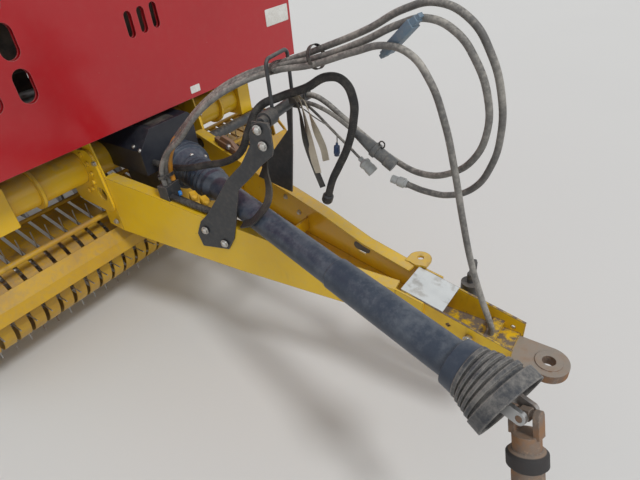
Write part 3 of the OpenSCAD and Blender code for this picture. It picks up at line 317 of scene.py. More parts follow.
def dustyBlack(name, look):
    f = Finish(name, look["rough"])
    cloud = f.noise(look["cloudScale"], 4)
    fine = f.noise(look["fineScale"], 5, 0.7)
    up = f.step(f.towards((0, 0, 1)), -0.1, 0.9)
    colour = f.mix(look["colour"], look["worn"], f.step(cloud, 0.35, 0.75))
    film = f.step(fine + cloud, 0.75, 1.35) * look["film"]
    # upward faces take the dust colour: real settled dust, and for the guard plastic also a painted highlight
    # from the sky
    dust = film + up * f.step(fine + cloud, 0.8, 1.3) * look["settled"]
    ridge = f.edges(look["edge"]) * look["ridges"] * (fine + 0.3)
    colour = f.mix(colour, look["dust"], f.limited(dust + ridge))
    f.set("Base Color", colour)
    f.set("Roughness", look["rough"] + dust * 0.3)
    return f.bump(fine, look["grain"], 0.6, f.rounded(look["edge"]))


# guard plastic: its blue tint is painted sky reflection, and the pale blue-grey on its upper faces is real
# dust together with a painted highlight from the sky
guardPlastic = dustyBlack("guardPlastic", {
    "colour": (0.02, 0.033, 0.058), "worn": (0.038, 0.056, 0.086), "dust": (0.31, 0.33, 0.35),
    "rough": 0.38, "cloudScale": 6, "fineScale": 45, "film": 0.1, "settled": 0.17, "edge": 0.004,
    "ridges": 0.2, "grain": 0.0004})
shroudPlastic = dustyBlack("shroudPlastic", {
    "colour": (0.009, 0.011, 0.019), "worn": (0.016, 0.019, 0.028), "dust": (0.2, 0.2, 0.2),
    "rough": 0.38, "cloudScale": 5, "fineScale": 50, "film": 0.05, "settled": 0.1, "edge": 0.003,
    "ridges": 0.12, "grain": 0.0003})
bellRubber = dustyBlack("bellRubber", {
    "colour": (0.026, 0.031, 0.04), "worn": (0.05, 0.052, 0.056), "dust": (0.36, 0.34, 0.31),
    "rough": 0.55, "cloudScale": 14, "fineScale": 70, "film": 0.3, "settled": 0.25, "edge": 0.007,
    "ridges": 0.85, "grain": 0.0008})
hoseRubber = dustyBlack("hoseRubber", {
    "colour": (0.105, 0.102, 0.098), "worn": (0.16, 0.155, 0.145), "dust": (0.5, 0.47, 0.42),
    "rough": 0.5, "cloudScale": 9, "fineScale": 90, "film": 0.4, "settled": 0.62, "edge": 0.002,
    "ridges": 0.0, "grain": 0.0002})
tyreRubber = dustyBlack("tyreRubber", {
    "colour": (0.018, 0.018, 0.019), "worn": (0.03, 0.029, 0.027), "dust": (0.3, 0.26, 0.2),
    "rough": 0.72, "cloudScale": 5, "fineScale": 60, "film": 0.2, "settled": 0.18, "edge": 0.004,
    "ridges": 0.18, "grain": 0.001})


def braided():
    # woven sleeve: two crossing sets of fine diagonal threads
    f = Finish("sleeveBraid", 0.8)
    dust = f.step(f.noise(30, 4, 0.7), 0.4, 0.75)
    threads = []
    for turn in ((1, 1, 1), (1, -1, 1)):
        where = f.node("ShaderNodeMapping", {}, {"Vector": f.place, "Scale": turn})
        threads.append(f.node("ShaderNodeTexWave", {"wave_type": "BANDS", "bands_direction": "DIAGONAL"},
                              {"Vector": where, "Scale": 110, "Distortion": 0.6}, out=1))
    weave = threads[0] * threads[1]
    black = f.mix((0.016, 0.016, 0.017), (0.05, 0.049, 0.047), weave)
    f.set("Base Color", f.mix(black, (0.27, 0.24, 0.2), dust * 0.22))
    return f.bump(weave, 0.0008, 0.8)


def belted():
    # belt with a fine diamond texture, polished dark and dusty in patches
    f = Finish("beltRubber", 0.6)
    knobs = f.node("ShaderNodeTexVoronoi", {"feature": "F1", "distance": "CHEBYCHEV"},
                   {"Vector": f.place, "Scale": 110})
    dust = f.step(f.noise(7, 5, 0.65), 0.42, 0.72)
    black = f.mix((0.016, 0.016, 0.017), (0.03, 0.029, 0.028), knobs)
    f.set("Base Color", f.mix(black, (0.26, 0.22, 0.16), dust * 0.35))
    f.set("Roughness", 0.55 + dust * 0.3)
    return f.bump(1 - knobs, 0.0015, 0.8)


def brushedMetal(name, look):
    f = Finish(name, look["rough"], metal=1.0)
    lines = f.noise(look["lineScale"], 3, 0.6, stretch=look["stretch"])
    cloud = f.noise(look["cloudScale"], 4, 0.6)
    stain = f.step(cloud, look["stainFrom"], look["stainFrom"] + 0.2) * look["stain"]
    colour = f.mix(f.mix(look["colour"], look["bright"], lines), look["stainColour"], stain)
    f.set("Base Color", colour)
    f.set("Metallic", 1 - stain * 0.8)
    f.set("Roughness", look["rough"] + lines * 0.12 + stain * 0.35)
    return f.bump(lines + cloud * 0.6, 0.0003, 0.5, f.rounded(0.002))


brightSteel = brushedMetal("brightSteel", {
    "colour": (0.36, 0.36, 0.36), "bright": (0.5, 0.5, 0.49), "stainColour": (0.16, 0.085, 0.045),
    "rough": 0.34, "lineScale": 60, "stretch": (0.15, 1, 1), "cloudScale": 9, "stainFrom": 0.46,
    "stain": 0.8})
zinc = brushedMetal("zinc", {
    "colour": (0.56, 0.58, 0.58), "bright": (0.68, 0.69, 0.68), "stainColour": (0.36, 0.34, 0.3),
    "rough": 0.42, "lineScale": 28, "stretch": (1, 1, 1), "cloudScale": 30, "stainFrom": 0.5,
    "stain": 0.5})
chromeRod = brushedMetal("chromeRod", {
    "colour": (0.55, 0.55, 0.56), "bright": (0.6, 0.6, 0.61), "stainColour": (0.25, 0.22, 0.18),
    "rough": 0.12, "lineScale": 80, "stretch": (1, 1, 0.1), "cloudScale": 8, "stainFrom": 0.6,
    "stain": 0.3})
boltZinc = brushedMetal("boltZinc", {
    "colour": (0.5, 0.5, 0.48), "bright": (0.6, 0.59, 0.56), "stainColour": (0.24, 0.17, 0.1),
    "rough": 0.3, "lineScale": 90, "stretch": (1, 1, 1), "cloudScale": 40, "stainFrom": 0.52,
    "stain": 0.5})


def rusted(name, dustShare, collar=None):
    # bare iron: brown rust with darker scale and worn bright spots on the edges, dusty on top
    f = Finish(name, 0.7)
    cloud = f.noise(16, 5, 0.65)
    fine = f.noise(120, 4, 0.7)
    rust = f.mix((0.24, 0.115, 0.045), (0.1, 0.055, 0.035), f.step(cloud, 0.4, 0.66))
    rust = f.mix(rust, (0.36, 0.2, 0.09), f.step(fine + cloud, 1.12, 1.3) * 0.6)
    worn = f.edges(0.004) * f.step(fine, 0.4, 0.6)
    dust = f.step(f.towards((0, 0, 1)) * 0.4 + cloud, 0.4, 0.95) * dustShare
    rust = f.mix(rust, (0.34, 0.31, 0.27), dust)
    rust = f.mix(rust, (0.3, 0.27, 0.24), worn)
    if collar:
        # a black collar between two distances along the yoke
        along = f.dot(f.place, collar["line"]) - collar["start"]
        begin, end = (f.step(along, collar[k], collar[k] + collar["fade"]) for k in ("from", "to"))
        band = begin * (1 - end)
        rust = f.mix(rust, (0.022, 0.022, 0.024), band * 0.95)
    f.set("Base Color", rust)
    f.set("Metallic", worn * 0.8)
    f.set("Roughness", 0.78 - worn * 0.35)
    return f.bump(fine + cloud, 0.0012, 0.7, f.rounded(0.003))


def moulded(name, colour, dustShare, rough, clear=0.0):
    # moulded plastic with a little dust and fine scuffs
    f = Finish(name, rough)
    f.set("Transmission Weight", clear)
    fine = f.noise(130, 4, 0.65)
    dust = f.step(fine + f.noise(18, 3), 0.85, 1.25) * dustShare
    f.set("Base Color", f.mix(colour, (0.34, 0.3, 0.24), dust))
    f.set("Roughness", rough + dust * 0.5)
    return f.bump(fine, 0.0002, 0.5, f.rounded(0.0015))


def lensed():
    # clear red lens with fine ribs
    f = Finish("lampLens", 0.16, coat=0.6)
    ribs = f.node("ShaderNodeTexWave", {"wave_type": "BANDS", "bands_direction": "X"},
                  {"Vector": f.place, "Scale": 60}, out=1)
    f.set("Base Color", f.mix((0.5, 0.016, 0.01), (0.62, 0.05, 0.02), ribs))
    return f.bump(ribs, 0.001, 0.5, f.rounded(0.003))


yokeLine = Vector((-0.3947, -0.2873, -0.8727))   # from the yoke's joint towards its open end
yokeCollar = {"line": yokeLine, "start": tonguePoint((-395, -18, 662)).dot(yokeLine), "from": 0.083,
              "to": 0.122, "fade": 0.002}
eyeIron = rusted("eyeIron", 0.75)
yokeIron = rusted("yokeIron", 0.45, yokeCollar)
wornIron = rusted("wornIron", 0.25)
sleeveBraid = braided()
beltRubber = belted()
lampLens = lensed()
plugGrey = moulded("plugGrey", (0.1, 0.105, 0.108), 0.35, 0.42)
plugClear = moulded("plugClear", (0.42, 0.44, 0.44), 0.3, 0.25)
plugBlack = moulded("plugBlack", (0.022, 0.022, 0.024), 0.3, 0.45)
plugBlue = moulded("plugBlue", (0.015, 0.045, 0.13), 0.25, 0.4)
clipBlue = moulded("clipBlue", (0.13, 0.2, 0.27), 0.3, 0.45)
clipYellow = moulded("clipYellow", (0.72, 0.42, 0.02), 0.25, 0.45)
labelWhite = moulded("labelWhite", (0.74, 0.74, 0.71), 0.3, 0.4)
strapCloth = moulded("strapCloth", (0.52, 0.46, 0.36), 0.35, 0.85)
plugSky = moulded("plugSky", (0.03, 0.22, 0.6), 0.15, 0.4)
sleeveOrange = moulded("sleeveOrange", (0.62, 0.26, 0.015), 0.35, 0.5)

nodeFinish = {
    "hitch_cover": zinc, "hitch_eye": eyeIron, "pto_yoke": yokeIron, "hitch_box": scuffedYellow,
    "gearbox_shroud": shroudPlastic, "pto_guard": guardPlastic, "pto_bell": bellRubber,
    "pickup_frame": shadedPickupYellow, "hose_sleeve": sleeveBraid, "plug_cone": plugGrey,
    "plug_clear": plugClear, "sleeve_end": plugBlack}
slotFinish = {
    "frame_yellow": frameYellow, "pickup_yellow": shadedPickupYellow, "body_red": bodyRed, "worn_iron": wornIron,
    "zinc": zinc, "dark_paint": darkPaint, "guard_plastic": guardPlastic, "bright_steel": brightSteel,
    "hose_rubber": hoseRubber, "plug_plastic": plugGrey, "chrome_rod": chromeRod, "belt_rubber": beltRubber,
    "tyre_rubber": tyreRubber, "rim_paint": rimPaint, "lamp": lampLens}
for part in frame["record"]["subparts"]:
    piece = nodes[part["node"]]
    piece.data.materials.clear()
    piece.data.materials.append(nodeFinish.get(part["node"], slotFinish[part["material_slot"]]))
for name, piece in hosePieces.items():
    piece.data.materials.append(sleeveBraid if name == "sleevedHose" else hoseRubber)
print("finishes made")


# modelling helpers
squareOn = 0.9   # a face whose normal reaches this along a direction faces that way
smoothLimit = 35   # degrees: sharper edges are shaded sharp, and rounded by softened


def clear():
    bpy.ops.object.select_all(action="DESELECT")


def alone(piece):
    clear()
    piece.select_set(True)
    bpy.context.view_layer.objects.active = piece


def edit(piece):
    alone(piece)
    bpy.ops.object.mode_set(mode="EDIT")
    bpy.ops.mesh.select_mode(type="FACE")
    bpy.ops.mesh.select_all(action="DESELECT")


def leave():
    bpy.ops.object.mode_set(mode="OBJECT")


def pick(test):
    # selects the faces whose middle and normal pass the test
    mesh = bmesh.from_edit_mesh(bpy.context.object.data)
    for face in mesh.faces:
        face.select = bool(test(face.calc_center_median(), face.normal))
    mesh.select_flush_mode()
    bmesh.update_edit_mesh(bpy.context.object.data)


def pickTop():
    pick(lambda c, n: n.z > squareOn)


def inset(thickness, depth=0.0):
    bpy.ops.mesh.inset(thickness=thickness, depth=depth)


def pull(x, y, z):
    bpy.ops.mesh.extrude_region_move(TRANSFORM_OT_translate={"value": (x, y, z)})


def scaled(x, y):
    bpy.ops.transform.resize(value=(x, y, 1))


def outwards():
    bpy.ops.mesh.select_all(action="SELECT")
    bpy.ops.mesh.normals_make_consistent(inside=False)


def fixPlace():
    bpy.ops.object.transform_apply(location=True, rotation=True, scale=True)


def newBlock(size, place):
    clear()
    bpy.ops.mesh.primitive_cube_add(size=1, location=place)
    block = bpy.context.object
    block.scale = size
    fixPlace()
    return block


def newRound(radius, depth, sides, place=(0, 0, 0), **more):
    clear()
    bpy.ops.mesh.primitive_cylinder_add(vertices=sides, radius=radius, depth=depth, location=place,
                                        **more)
    fixPlace()
    return bpy.context.object


def modify(piece, kind, **settings):
    alone(piece)
    modifier = piece.modifiers.new("shape", kind)
    for key, value in settings.items():
        setattr(modifier, key, value)
    bpy.ops.object.modifier_apply(modifier=modifier.name)


def softened(piece, width, segments=2, limit=smoothLimit):
    modify(piece, "BEVEL", width=width, segments=segments, limit_method="ANGLE",
           angle_limit=math.radians(limit))


def toMesh(line):
    alone(line)
    bpy.ops.object.convert(target="MESH")
    return bpy.context.object


def settle(piece, name, body, finish, turn=None):
    # puts a shaped piece in its place for good, with its object at the origin
    alone(piece)
    if turn is not None:
        piece.matrix_world = turn
    fixPlace()
    piece.name = name
    piece.data.materials.clear()
    piece.data.materials.append(finish)
    bpy.ops.object.shade_smooth_by_angle(angle=math.radians(smoothLimit))
    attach(piece, body)
    return piece


def copyOf(piece, turn):
    # a copy with its own mesh, moved and turned
    again = piece.copy()
    again.data = piece.data.copy()
    again.data.transform(turn)
    scene.collection.objects.link(again)
    return again


def gather(pieces):
    alone(pieces[0])
    for piece in pieces[1:]:
        piece.select_set(True)
    if len(pieces) > 1:
        bpy.ops.object.join()
    return pieces[0]


def facing(place, normal, size=1.0, spin=0.0):
    # a place and direction for a piece that is modelled about the origin with Z outwards
    turn = Vector(normal).normalized().to_track_quat("Z", "Y").to_matrix().to_4x4()
    return Matrix.Translation(place) @ turn @ Matrix.Rotation(spin, 4, "Z") @ Matrix.Scale(size, 4)


railStart, railEnd = 0.47, 1.7   # behind the pin
boxHalf, spreadHalf = 0.07, 0.265   # from the middle to a rail's web, in front and behind
railTurn = math.atan((spreadHalf - boxHalf) / (railEnd - railStart))


def railPoint(run, height, off, side=-1):
    # a place on a rail: along it, its height, and outwards from the inner face of the rail's web
    x = boxHalf + off * math.cos(railTurn) + run * math.sin(railTurn)
    y = railStart - off * math.sin(railTurn) + run * math.cos(railTurn)
    return Vector((side * x, pinY + y, height))


def railOut(side=-1):
    return Vector((side * math.cos(railTurn), -math.sin(railTurn), 0))


# bolts: a domed or a six-sided head on a washer, one of each, then copies
bolts = {"head": 0.01, "rise": 0.005, "washer": 0.014, "washerThick": 0.002,
         "dome": ((0.3, 0.45), (0.35, 0.2)), "hexWide": 1.1, "hexTall": 1.7, "hexEdge": (0.2, 0.12)}


def makeDomedBolt(b):
    bolt = newRound(b["washer"], b["washerThick"], 20, (0, 0, b["washerThick"] / 2))
    edit(bolt)
    pickTop()
    inset(b["washer"] - b["head"])
    pull(0, 0, b["rise"])
    for inward, up in b["dome"]:
        inset(b["head"] * inward, b["rise"] * up)
    leave()
    return bolt


def makeHexBolt(b):
    washer = newRound(b["washer"], b["washerThick"], 24, (0, 0, b["washerThick"] / 2))
    tall = b["rise"] * b["hexTall"]
    head = newRound(b["head"] * b["hexWide"], tall, 6, (0, 0, b["washerThick"] + tall / 2))
    edit(head)
    pickTop()
    inset(b["head"] * b["hexEdge"][0], b["rise"] * b["hexEdge"][1])
    leave()
    return gather([washer, head])


domedBolt = makeDomedBolt(bolts)
hexBolt = makeHexBolt(bolts)


def boltSet(name, body, bolt, places):
    # each place has a direction and a size
    made = [copyOf(bolt, facing(place, normal, size)) for place, normal, size in places]
    settle(gather(made), name, body, boltZinc)


boltSet("holderBolts", "root", domedBolt, [
    (railPoint(u / 1000, v / 1000, 0.0195), railOut(), 1.15)
    for u, v in ((442, 1070), (431, 1019), (758, 632), (678, 590))])
boltSet("shroudScrews", "root", domedBolt, [
    (tonguePoint(p), (-0.75, 0, 0.67), 0.62) for p in ((-154, 1610, 874), (-160, 1566, 868))])
boltSet("bootScrews", "root", domedBolt, [
    (tonguePoint(p), n, 0.55) for p, n in (
        ((-13, 1445, 811), (-0.11, -0.44, 0.89)), ((31, 1417, 791), (0.5, -0.59, 0.63)),
        ((-73, 1462, 778), (-0.88, -0.22, 0.42)), ((-81, 1415, 782), (-0.79, -0.27, 0.55)))])
boltSet("hitchBolt", "root", hexBolt, [
    (tonguePoint((-82, 225, 470)), (-1, 0, 0), 1.1), (tonguePoint((154, 300, 470)), (1, 0, 0), 1.3)])
boltSet("railBolts", "root", hexBolt, [
    (railPoint(u, v, -0.0002, 1), -railOut(1), 0.8) for u, v in ((0.675, 0.6), (0.6, 0.55))] + [
    (tonguePoint((s * 281, 1712, z)), (s, 0, 0), 0.95) for s in (-1, 1) for z in (560, 835)])
print("bolts placed")


# blank plates: thin raised plates with a rounded outline, no lettering
plateGroove = {"wide": 0.0004, "deep": 0.0006}
plates = {
    "panelPlateLarge": {
        "size": (0.165, 0.075, 0.0012), "corner": 0.006, "rim": 0, "finish": labelWhite,
        "place": tonguePoint((790, 1599.9, 1168)), "normal": (0, -1, 0)},
    "panelPlateSmall": {
        "size": (0.052, 0.03, 0.0012), "corner": 0.003, "rim": 0, "finish": labelWhite,
        "place": tonguePoint((205, 1599.9, 994)), "normal": (0, -1, 0)},
    "shroudPlate": {
        "size": (0.12, 0.085, 0.0012), "corner": 0.006, "rim": 0.004, "finish": plugBlack,
        "place": tonguePoint((-20, 1612, 936.1)), "normal": (0, 0, 1)},
    "railPlateLeft": {
        "size": (0.078, 0.032, 0.002), "corner": 0.0158, "rim": 0.003, "finish": plugGrey,
        "place": railPoint(0.255, 0.525, -0.0001, 1), "normal": -railOut(1)},
    "railPlateRight": {
        "size": (0.072, 0.03, 0.002), "corner": 0.0148, "rim": 0.003, "finish": plugGrey,
        "place": railPoint(0.178, 0.466, 0.0081), "normal": railOut()}}


def makePlate(name, p):
    thick = p["size"][2]
    plate = newBlock(p["size"], (0, 0, thick / 2))
    # only the upright edges are rounded
    weights = plate.data.attributes.new("bevel_weight_edge", "FLOAT", "EDGE")
    for e in plate.data.edges:
        a, b = (plate.data.vertices[i].co for i in e.vertices)
        weights.data[e.index].value = 1.0 if abs(a.z - b.z) > thick / 2 else 0.0
    modify(plate, "BEVEL", width=p["corner"], segments=8, limit_method="WEIGHT")
    if p["rim"]:
        edit(plate)
        pickTop()
        inset(p["rim"])
        inset(plateGroove["wide"], -plateGroove["deep"])
        leave()
    settle(plate, name, "root", p["finish"], facing(p["place"], p["normal"]))


for name, p in plates.items():
    makePlate(name, p)
print("plates placed")


# tyres: a carcass spun from its profile, with lugs in a herringbone round it
wheelX, wheelY, wheelZ = 1.03, pinY + 3.19, 0.4   # middle of the left wheel
tyre = {"radius": 0.4, "half": 0.165, "turns": 72, "lugs": 22, "lugRise": 0.016, "lugSink": 0.022,
        "lugThick": 0.03, "lugTaper": (0.97, 0.72), "lean": 0.55, "leanLoss": 0.35, "shoulder": 0.62,
        "shoulderDrop": 0.2, "lugEdge": 0.012, "lugOver": 0.01, "lugInside": 0.0005, "lugSoft": 0.002,
        "weld": 0.0002,
        "profile": [(0.2005, 0.133), (0.2125, 0.149), (0.2405, 0.159), (0.3, 0.164), (0.34, 0.158),
                    (0.372, 0.139), (0.384, 0.11), (0.385, 0)]}   # radius, half the width there


def makeCarcass(t):
    line = t["profile"] + [(r, -w) for r, w in reversed(t["profile"][:-1])]
    clear()
    bpy.ops.mesh.primitive_circle_add(vertices=len(line), location=(0, 0, 0))
    carcass = bpy.context.object
    for v, (r, w) in zip(carcass.data.vertices, line):
        v.co = (w, 0, r)
    edit(carcass)
    bpy.ops.mesh.select_mode(type="EDGE")
    bpy.ops.mesh.select_all(action="SELECT")
    bpy.ops.mesh.spin(steps=t["turns"], angle=2 * math.pi, center=(0, 0, 0), axis=(1, 0, 0))
    bpy.ops.mesh.select_all(action="SELECT")
    bpy.ops.mesh.remove_doubles(threshold=t["weld"])
    outwards()
    leave()
    return carcass


def makeLug(t):
    # one lug: a bar from the middle of the tread to its shoulder, tapered and bent over the shoulder
    length = t["half"] + t["lugEdge"]
    tall = t["lugRise"] + t["lugSink"]
    lug = newBlock((length, t["lugThick"], tall), (length / 2 - t["lugOver"], 0, 0))
    edit(lug)
    pickTop()
    scaled(*t["lugTaper"])
    bpy.ops.mesh.select_all(action="SELECT")
    bpy.ops.mesh.subdivide(number_cuts=4)
    leave()
    for v in lug.data.vertices:
        w, reach = v.co.x, v.co.x / t["half"]
        r = t["radius"] - tall / 2 + v.co.z - t["shoulderDrop"] * max(0, reach - t["shoulder"]) ** 2
        a = (v.co.y + t["lean"] * w * (1 - t["leanLoss"] * reach)) / t["radius"]
        widest = t["half"] - t["lugInside"] - t["lugEdge"] * (v.co.z > 0)
        v.co = (min(w, widest), r * math.sin(a), r * math.cos(a))
    softened(lug, t["lugSoft"], 1, 40)
    return lug


def makeTyre(side, s, t):
    lug = makeLug(t)
    pieces = [makeCarcass(t)]
    step = 2 * math.pi / t["lugs"]
    flip = Matrix.Scale(-1, 4, (1, 0, 0))
    for i in range(t["lugs"]):
        pieces.append(copyOf(lug, Matrix.Rotation(i * step, 4, "X")))
        pieces.append(copyOf(lug, Matrix.Rotation((i + 0.5) * step, 4, "X") @ flip))
    bpy.data.objects.remove(lug)
    for piece in pieces[1:]:
        edit(piece)
        outwards()
        leave()
    made = settle(gather(pieces), "treadTyre_" + side, "wheel_" + side, tyreRubber,
                  Matrix.Translation((s * wheelX, wheelY, wheelZ)))
    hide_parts("tyre_" + side)


# wheel trim: studs round the hub and a cap on it
hub = {"studs": 8, "ring": 0.085, "face": 0.009, "studSize": 1.25, "capOut": 0.0705, "capRadius": 0.046,
       "capBase": 0.01, "capSteps": ((0.027, 0.8), (0.0135, 0.82)), "capEdge": (0.01, 0.002),
       "soft": 0.0015}


def makeHub(side, s, h):
    outward = Vector((s, 0, 0))
    places = []
    for i in range(h["studs"]):
        a = 2 * math.pi * i / h["studs"]
        place = Vector((s * (wheelX + h["face"]), wheelY + h["ring"] * math.cos(a),
                        wheelZ + h["ring"] * math.sin(a)))
        places.append((place, outward, h["studSize"]))
    boltSet("wheelStuds_" + side, "wheel_" + side, hexBolt, places)
    cap = newRound(h["capRadius"], h["capBase"], 32)
    edit(cap)
    pickTop()
    for rise, share in h["capSteps"]:
        pull(0, 0, rise)
        scaled(share, share)
    inset(*h["capEdge"])
    leave()
    softened(cap, h["soft"])
    settle(cap, "hubCap_" + side, "wheel_" + side, darkPaint,
           facing(Vector((s * (wheelX + h["capOut"]), wheelY, wheelZ)), outward))


sides = {"left": 1, "right": -1}
for side, s in sides.items():
    makeTyre(side, s, tyre)
    makeHub(side, s, hub)
print("wheels dressed")


# gauge wheels: a pressed disc with a nut on the outer face of each
gauge = {"disc": 0.12, "thick": 0.003, "rings": ((0.018, 0), (0.01, -0.002), (0.04, 0), (0.012, 0.01)),
         "nutOut": 0.0075, "nutSize": 1.5, "soft": 0.0012}


def makeGaugeDisc(side, s, g):
    low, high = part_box("gauge_wheel_" + side)
    middle = Vector(((high if s > 0 else low)[0], (low[1] + high[1]) / 2, (low[2] + high[2]) / 2))
    disc = newRound(g["disc"], g["thick"], 48)
    edit(disc)
    pickTop()
    for inward, up in g["rings"]:
        inset(inward, up)
    leave()
    softened(disc, g["soft"])
    settle(disc, "gaugeDisc_" + side, "gauge_" + side, rimPaint, facing(middle, (s, 0, 0)))
    boltSet("gaugeNut_" + side, "gauge_" + side, hexBolt,
            [(middle + Vector((s * g["nutOut"], 0, 0)), (s, 0, 0), g["nutSize"])])


for side, s in sides.items():
    makeGaugeDisc(side, s, gauge)


# tail lamps: a dark housing rim round each lens, and two ribs that part its sections
lampRim = {"span": (0.64, 0.82), "wide": 0.008, "proud": 0.002, "deep": 0.7, "back": 0.1, "lip": 0.26,
           "wall": 0.0015, "parts": (0.36, 0.68), "rib": (0.005, 0.002), "ribOut": 0.0006, "ribOver": 0.004,
           "ribSoft": 0.0008}


def makeLampRim(side, s, r):
    low, high = (Vector(v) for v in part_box("tail_lamps"))
    low.x, high.x = sorted(s * x for x in r["span"])
    size = high - low
    rim = newBlock((size.x + 2 * r["proud"], size.y * r["deep"], size.z + 2 * r["proud"]),
                   (low + high) / 2 - Vector((0, size.y * r["back"], 0)))
    edit(rim)
    pick(lambda c, n: n.y > squareOn)
    pull(0, size.y * r["lip"], 0)
    inset(r["wide"])
    bpy.ops.mesh.delete(type="FACE")
    leave()
    modify(rim, "SOLIDIFY", thickness=r["wall"], offset=1)
    pieces = [rim]
    for share in r["parts"]:
        rib = newBlock((*r["rib"], size.z - 2 * r["wide"] + r["ribOver"]),
                       (low.x + size.x * share, high.y + r["ribOut"], (low.z + high.z) / 2))
        softened(rib, r["ribSoft"], 1)
        pieces.append(rib)
    settle(gather(pieces), "lampRim_" + side, "tailgate", plugBlack)


for side in ("right", "left"):
    makeLampRim(side, sides[side], lampRim)


# jack: a crank on top, with an arm and a grip that hangs from it
jackCrank = {"place": (115, 300, 546), "turn": 0.25, "boss": 0.013, "bossTall": 0.02, "bossSoft": 0.002,
             "arm": 0.08, "armOver": 0.014, "armWide": 0.018, "armThick": 0.007, "armHigh": 0.012,
             "grip": 0.012, "gripLong": 0.06, "gripTop": 0.008, "gripEdge": (0.004, 0.003), "soft": 0.003}


def makeCrank(c):
    boss = newRound(c["boss"], c["bossTall"], 16, (0, 0, c["bossTall"] / 2))
    softened(boss, c["bossSoft"])
    arm = newBlock((c["arm"] + c["armOver"], c["armWide"], c["armThick"]), (c["arm"] / 2, 0, c["armHigh"]))
    softened(arm, c["soft"])
    grip = newRound(c["grip"], c["gripLong"], 20, (c["arm"], 0, c["gripTop"] - c["gripLong"] / 2))
    edit(grip)
    pick(lambda p, n: n.z < -squareOn)
    inset(*c["gripEdge"])
    leave()
    softened(grip, c["soft"])
    settle(gather([boss, arm, grip]), "jackCrank", "jack", plugBlack,
           Matrix.Translation(tonguePoint(c["place"])) @ Matrix.Rotation(c["turn"], 4, "Z"))


makeCrank(jackCrank)
print("lamps and jack dressed")


# wind guard arms: from the guard's bar back to their pivots in the pickup's side plates
guardArm = {"in": 0.9457, "thick": 0.008, "wide": 0.016, "bar": (0, 1841, 546), "pivot": (0, 1930, 560),
            "pinRadius": 0.01, "pinLong": 0.0208, "pinEdge": (0.002, 0.0015), "soft": 0.0012}


def makeGuardArm(side, s, g):
    front = tonguePoint(g["bar"])
    run = tonguePoint(g["pivot"]) - front
    arm = newRound(g["wide"], g["thick"], 32)
    edit(arm)
    pick(lambda c, n: abs(n.z) < squareOn and c.x > 0)
    bpy.ops.transform.translate(value=(run.length, 0, 0), orient_type="GLOBAL")
    leave()
    softened(arm, g["soft"])
    pin = newRound(g["pinRadius"], g["pinLong"], 24, (run.length, 0, 0))
    edit(pin)
    pick(lambda c, n: abs(n.z) > squareOn)
    inset(*g["pinEdge"])
    leave()
    across = Vector((1, 0, 0))
    ahead = run.normalized()
    turn = Matrix((ahead, across.cross(ahead), across)).transposed().to_4x4()
    place = Vector((s * (g["in"] + g["thick"] / 2), front.y, front.z))
    settle(gather([arm, pin]), "guardArm_" + side, "pickup", shadedPickupYellow,
           Matrix.Translation(place) @ turn)


for side, s in sides.items():
    makeGuardArm(side, s, guardArm)
print("wind guard arms made")


# tubes bent along a line: the black conduit on the right rail's top, with ribs round it, and the
# bright-orange sleeve round one hose where it leaves the block
tubes = {
    "railConduit": {
        "thick": 0.028, "inner": 0.84, "around": 2, "along": 12, "rib": 0.0032, "pitch": 0.0065,
        "finish": plugBlack,
        "route": [(-197, 1379, 730), (-189, 1335, 721), (-181, 1285, 711), (-172, 1235, 700),
                  (-163, 1182, 693)]},
    "orangeSleeve": {
        "thick": 0.0235, "inner": 1, "around": 4, "along": 8, "rib": 0, "finish": sleeveOrange,
        "route": [(-156, 1406, 777), (-156, 1406, 825), (-152, 1357, 925), (-140, 1282, 1000)]}}


def makeTube(name, c):
    line, run = smoothLine(name + "Line", c["route"])
    ribs = []
    if c["rib"]:
        row = newRound(c["thick"] / 2, c["rib"], 16, (c["rib"] / 2, 0, 0), rotation=(0, math.pi / 2, 0))
        modify(row, "ARRAY", use_relative_offset=False, use_constant_offset=True,
               constant_offset_displace=(c["pitch"], 0, 0), count=int(run / c["pitch"]))
        modify(row, "CURVE", object=line)
        ribs.append(row)
    thicken(line, c["thick"] / 2 * c["inner"], c["around"], c["along"])
    settle(gather([toMesh(line)] + ribs), name, "root", c["finish"])


makeTube("railConduit", tubes["railConduit"])


# moulded shells: plug bodies and clips, with a stepped end on both sides
shellForm = {"top": (0.14, 0.07), "steps": ((0.15, 0.16), (0.12, 0.1)), "soft": 0.07}   # shares of its size
shells = {
    "yellowPlugRear": {
        "size": (0.03, 0.026, 0.03), "place": (-153, 1312, 712), "normal": (0, -0.2, 1), "spin": 1.2,
        "finish": clipYellow},
    "yellowPlugFront": {
        "size": (0.034, 0.026, 0.028), "place": (-145, 1262, 702), "normal": (0, -0.2, 1), "spin": 1.3,
        "finish": clipYellow},
    "bluePlugSmall": {
        "size": (0.014, 0.012, 0.014), "place": (-180, 1350, 737), "normal": (0, -0.2, 1), "spin": 1.2,
        "finish": plugSky},
    "hoseClip": {
        "size": (0.115, 0.03, 0.026), "place": (6, 506, 1312), "normal": (0.15, 0.65, 0.75), "spin": 1.55,
        "finish": clipBlue}}


def makeShell(name, p):
    w, d, h = p["size"]
    shell = newBlock(p["size"], (0, 0, h / 2))
    edit(shell)
    pickTop()
    inset(min(w, d) * shellForm["top"][0], -h * shellForm["top"][1])
    for end in (-1, 1):
        pick(lambda c, n: n.x * end > squareOn)
        for inward, onward in shellForm["steps"]:
            inset(min(h, d) * inward)
            pull(end * w * onward, 0, 0)
    leave()
    softened(shell, min(w, d, h) * shellForm["soft"])
    settle(shell, name, "root", p["finish"],
           facing(tonguePoint(p["place"]), p["normal"], 1.0, p["spin"]))


for name, p in shells.items():
    makeShell(name, p)
makeTube("orangeSleeve", tubes["orangeSleeve"])


